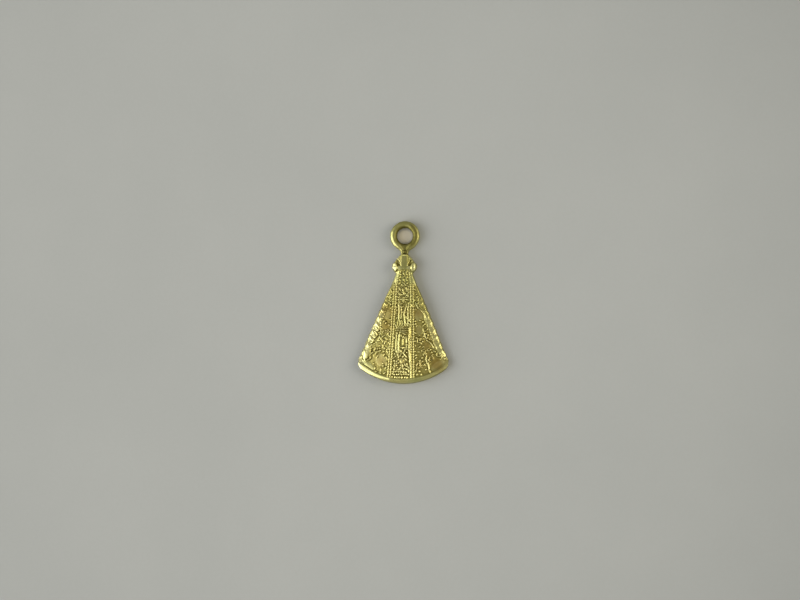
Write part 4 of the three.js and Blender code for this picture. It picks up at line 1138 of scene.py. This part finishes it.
def add_camera():
    """A camera that shows the pendant at the photograph's place, size and angle."""
    azimuth, elevation, roll = map(radians, CAMERA_ANGLES)
    back = Vector((sin(azimuth) * cos(elevation), -cos(azimuth) * cos(elevation), sin(elevation)))
    level = Vector((0, 0, 1)).cross(back).normalized()
    upright = back.cross(level)
    right = level * cos(roll) + upright * sin(roll)
    up = upright * cos(roll) - level * sin(roll)
    distance = IMAGE[0] * PIXEL_MM * MM * LENS / SENSOR
    across = (EYE_PIXEL[0] - IMAGE[0] / 2) * PIXEL_MM * MM
    above = (IMAGE[1] / 2 - EYE_PIXEL[1]) * PIXEL_MM * MM
    place = -right * across - up * above + back * distance
    data = bpy.data.cameras.new("camera")
    data.lens, data.sensor_width = LENS, SENSOR
    data.clip_start, data.clip_end = distance * 0.05, 10
    camera = linked("camera", data)
    camera.matrix_world = Matrix((*zip(right, up, back, place), (0, 0, 0, 1)))
    bpy.context.scene.camera = camera


def add_paper():
    """A sheet that lies open right behind the pendant, so that the back does not mirror its own shadow."""
    rows, cols = PAPER_GRID
    x, z = front_grid(rows, cols, PAPER_INSET)
    loop = perimeter(rows, cols)[cols:]
    edge_x, edge_z = x.ravel()[loop], z.ravel()[loop]
    levels = np.sort(edge_z[edge_x >= 0])
    sides = []
    for side, _ in SIDES:
        mine = side * edge_x >= 0
        order = np.argsort(edge_z[mine])
        sides.append(np.interp(levels, edge_z[mine][order], edge_x[mine][order]) * MM)
    left, right = (np.concatenate([s[:1], s, s[-1:]]) for s in sides)
    points, faces = [], []
    for k, level in enumerate([-PAPER_HALF, *(levels * MM), PAPER_HALF]):
        points += [(x, PAPER_Y, level) for x in (-PAPER_HALF, left[k], right[k], PAPER_HALF)]
        if k:
            a, b = 4 * k - 4, 4 * k
            faces += [(a, a + 1, b + 1, b), (a + 2, a + 3, b + 3, b + 2)]
            if k in (1, len(levels) + 1):
                faces.append((a + 1, a + 2, b + 2, b + 1))
    mesh = bpy.data.meshes.new("paper")
    mesh.from_pydata(points, [], faces)
    mesh.materials.append(paper())
    sheet = linked("paper", mesh)


def add_lamp(name, place, size, power, color):
    """A square lamp that shines at the pendant's middle, unseen by the camera."""
    data = bpy.data.lights.new(name, "AREA")
    data.energy, data.size, data.color = power, size, color
    lamp = linked(name, data)
    lamp.visible_camera = False
    lamp.location = place
    lamp.rotation_mode = "QUATERNION"
    lamp.rotation_quaternion = (LAMP_AIM - lamp.location).to_track_quat("-Z", "Y")


def add_world():
    """A plain room, brighter at the left and at the right."""
    nodes = Nodes(bpy.data.worlds.new("room"), "Generated")
    across = nodes.across()
    level = ROOM_DIM
    for toward in (-1, 1):
        share = nodes.math("MAXIMUM", nodes.math("MULTIPLY", across, toward), 0)
        lobe = nodes.math("MULTIPLY", nodes.math("POWER", share, ROOM_FOCUS), ROOM_SIDES)
        level = nodes.math("ADD", level, lobe)
    room = nodes.add("Background", {"Color": ROOM_COLOR, "Strength": level})
    bpy.context.scene.world = nodes.end("OutputWorld", room)


# Lamps: name, place and size in metres, power in watts, colour
LAMPS = (
    ("window", (-1.13, -0.62, -0.44), 1.5, 16, (0.97, 0.985, 1.03)),
    ("left_wall", (-1.4, -0.2, -0.15), 1.5, 14, (1, 0.995, 0.92)),
    ("side_fill", (1.15, -0.65, 0.1), 0.75, 8.5, (1, 0.93, 0.78)),
    ("back_fill", (0.9, 1, -0.2), 1.8, 12, (1, 0.99, 0.92)),
)
LAMP_AIM = Vector((0, 0, -0.009))

# The room's level, how much brighter its two sides are and how narrow these are
ROOM_DIM = 0.38
ROOM_SIDES = 0.35
ROOM_FOCUS = 5
ROOM_COLOR = (1, 0.995, 0.88, 1)

add_front()
add_back_plate()
add_ring()
add_camera()
add_paper()
for lamp in LAMPS:
    add_lamp(*lamp)
add_world()
bpy.context.scene.view_settings.view_transform = "Standard"
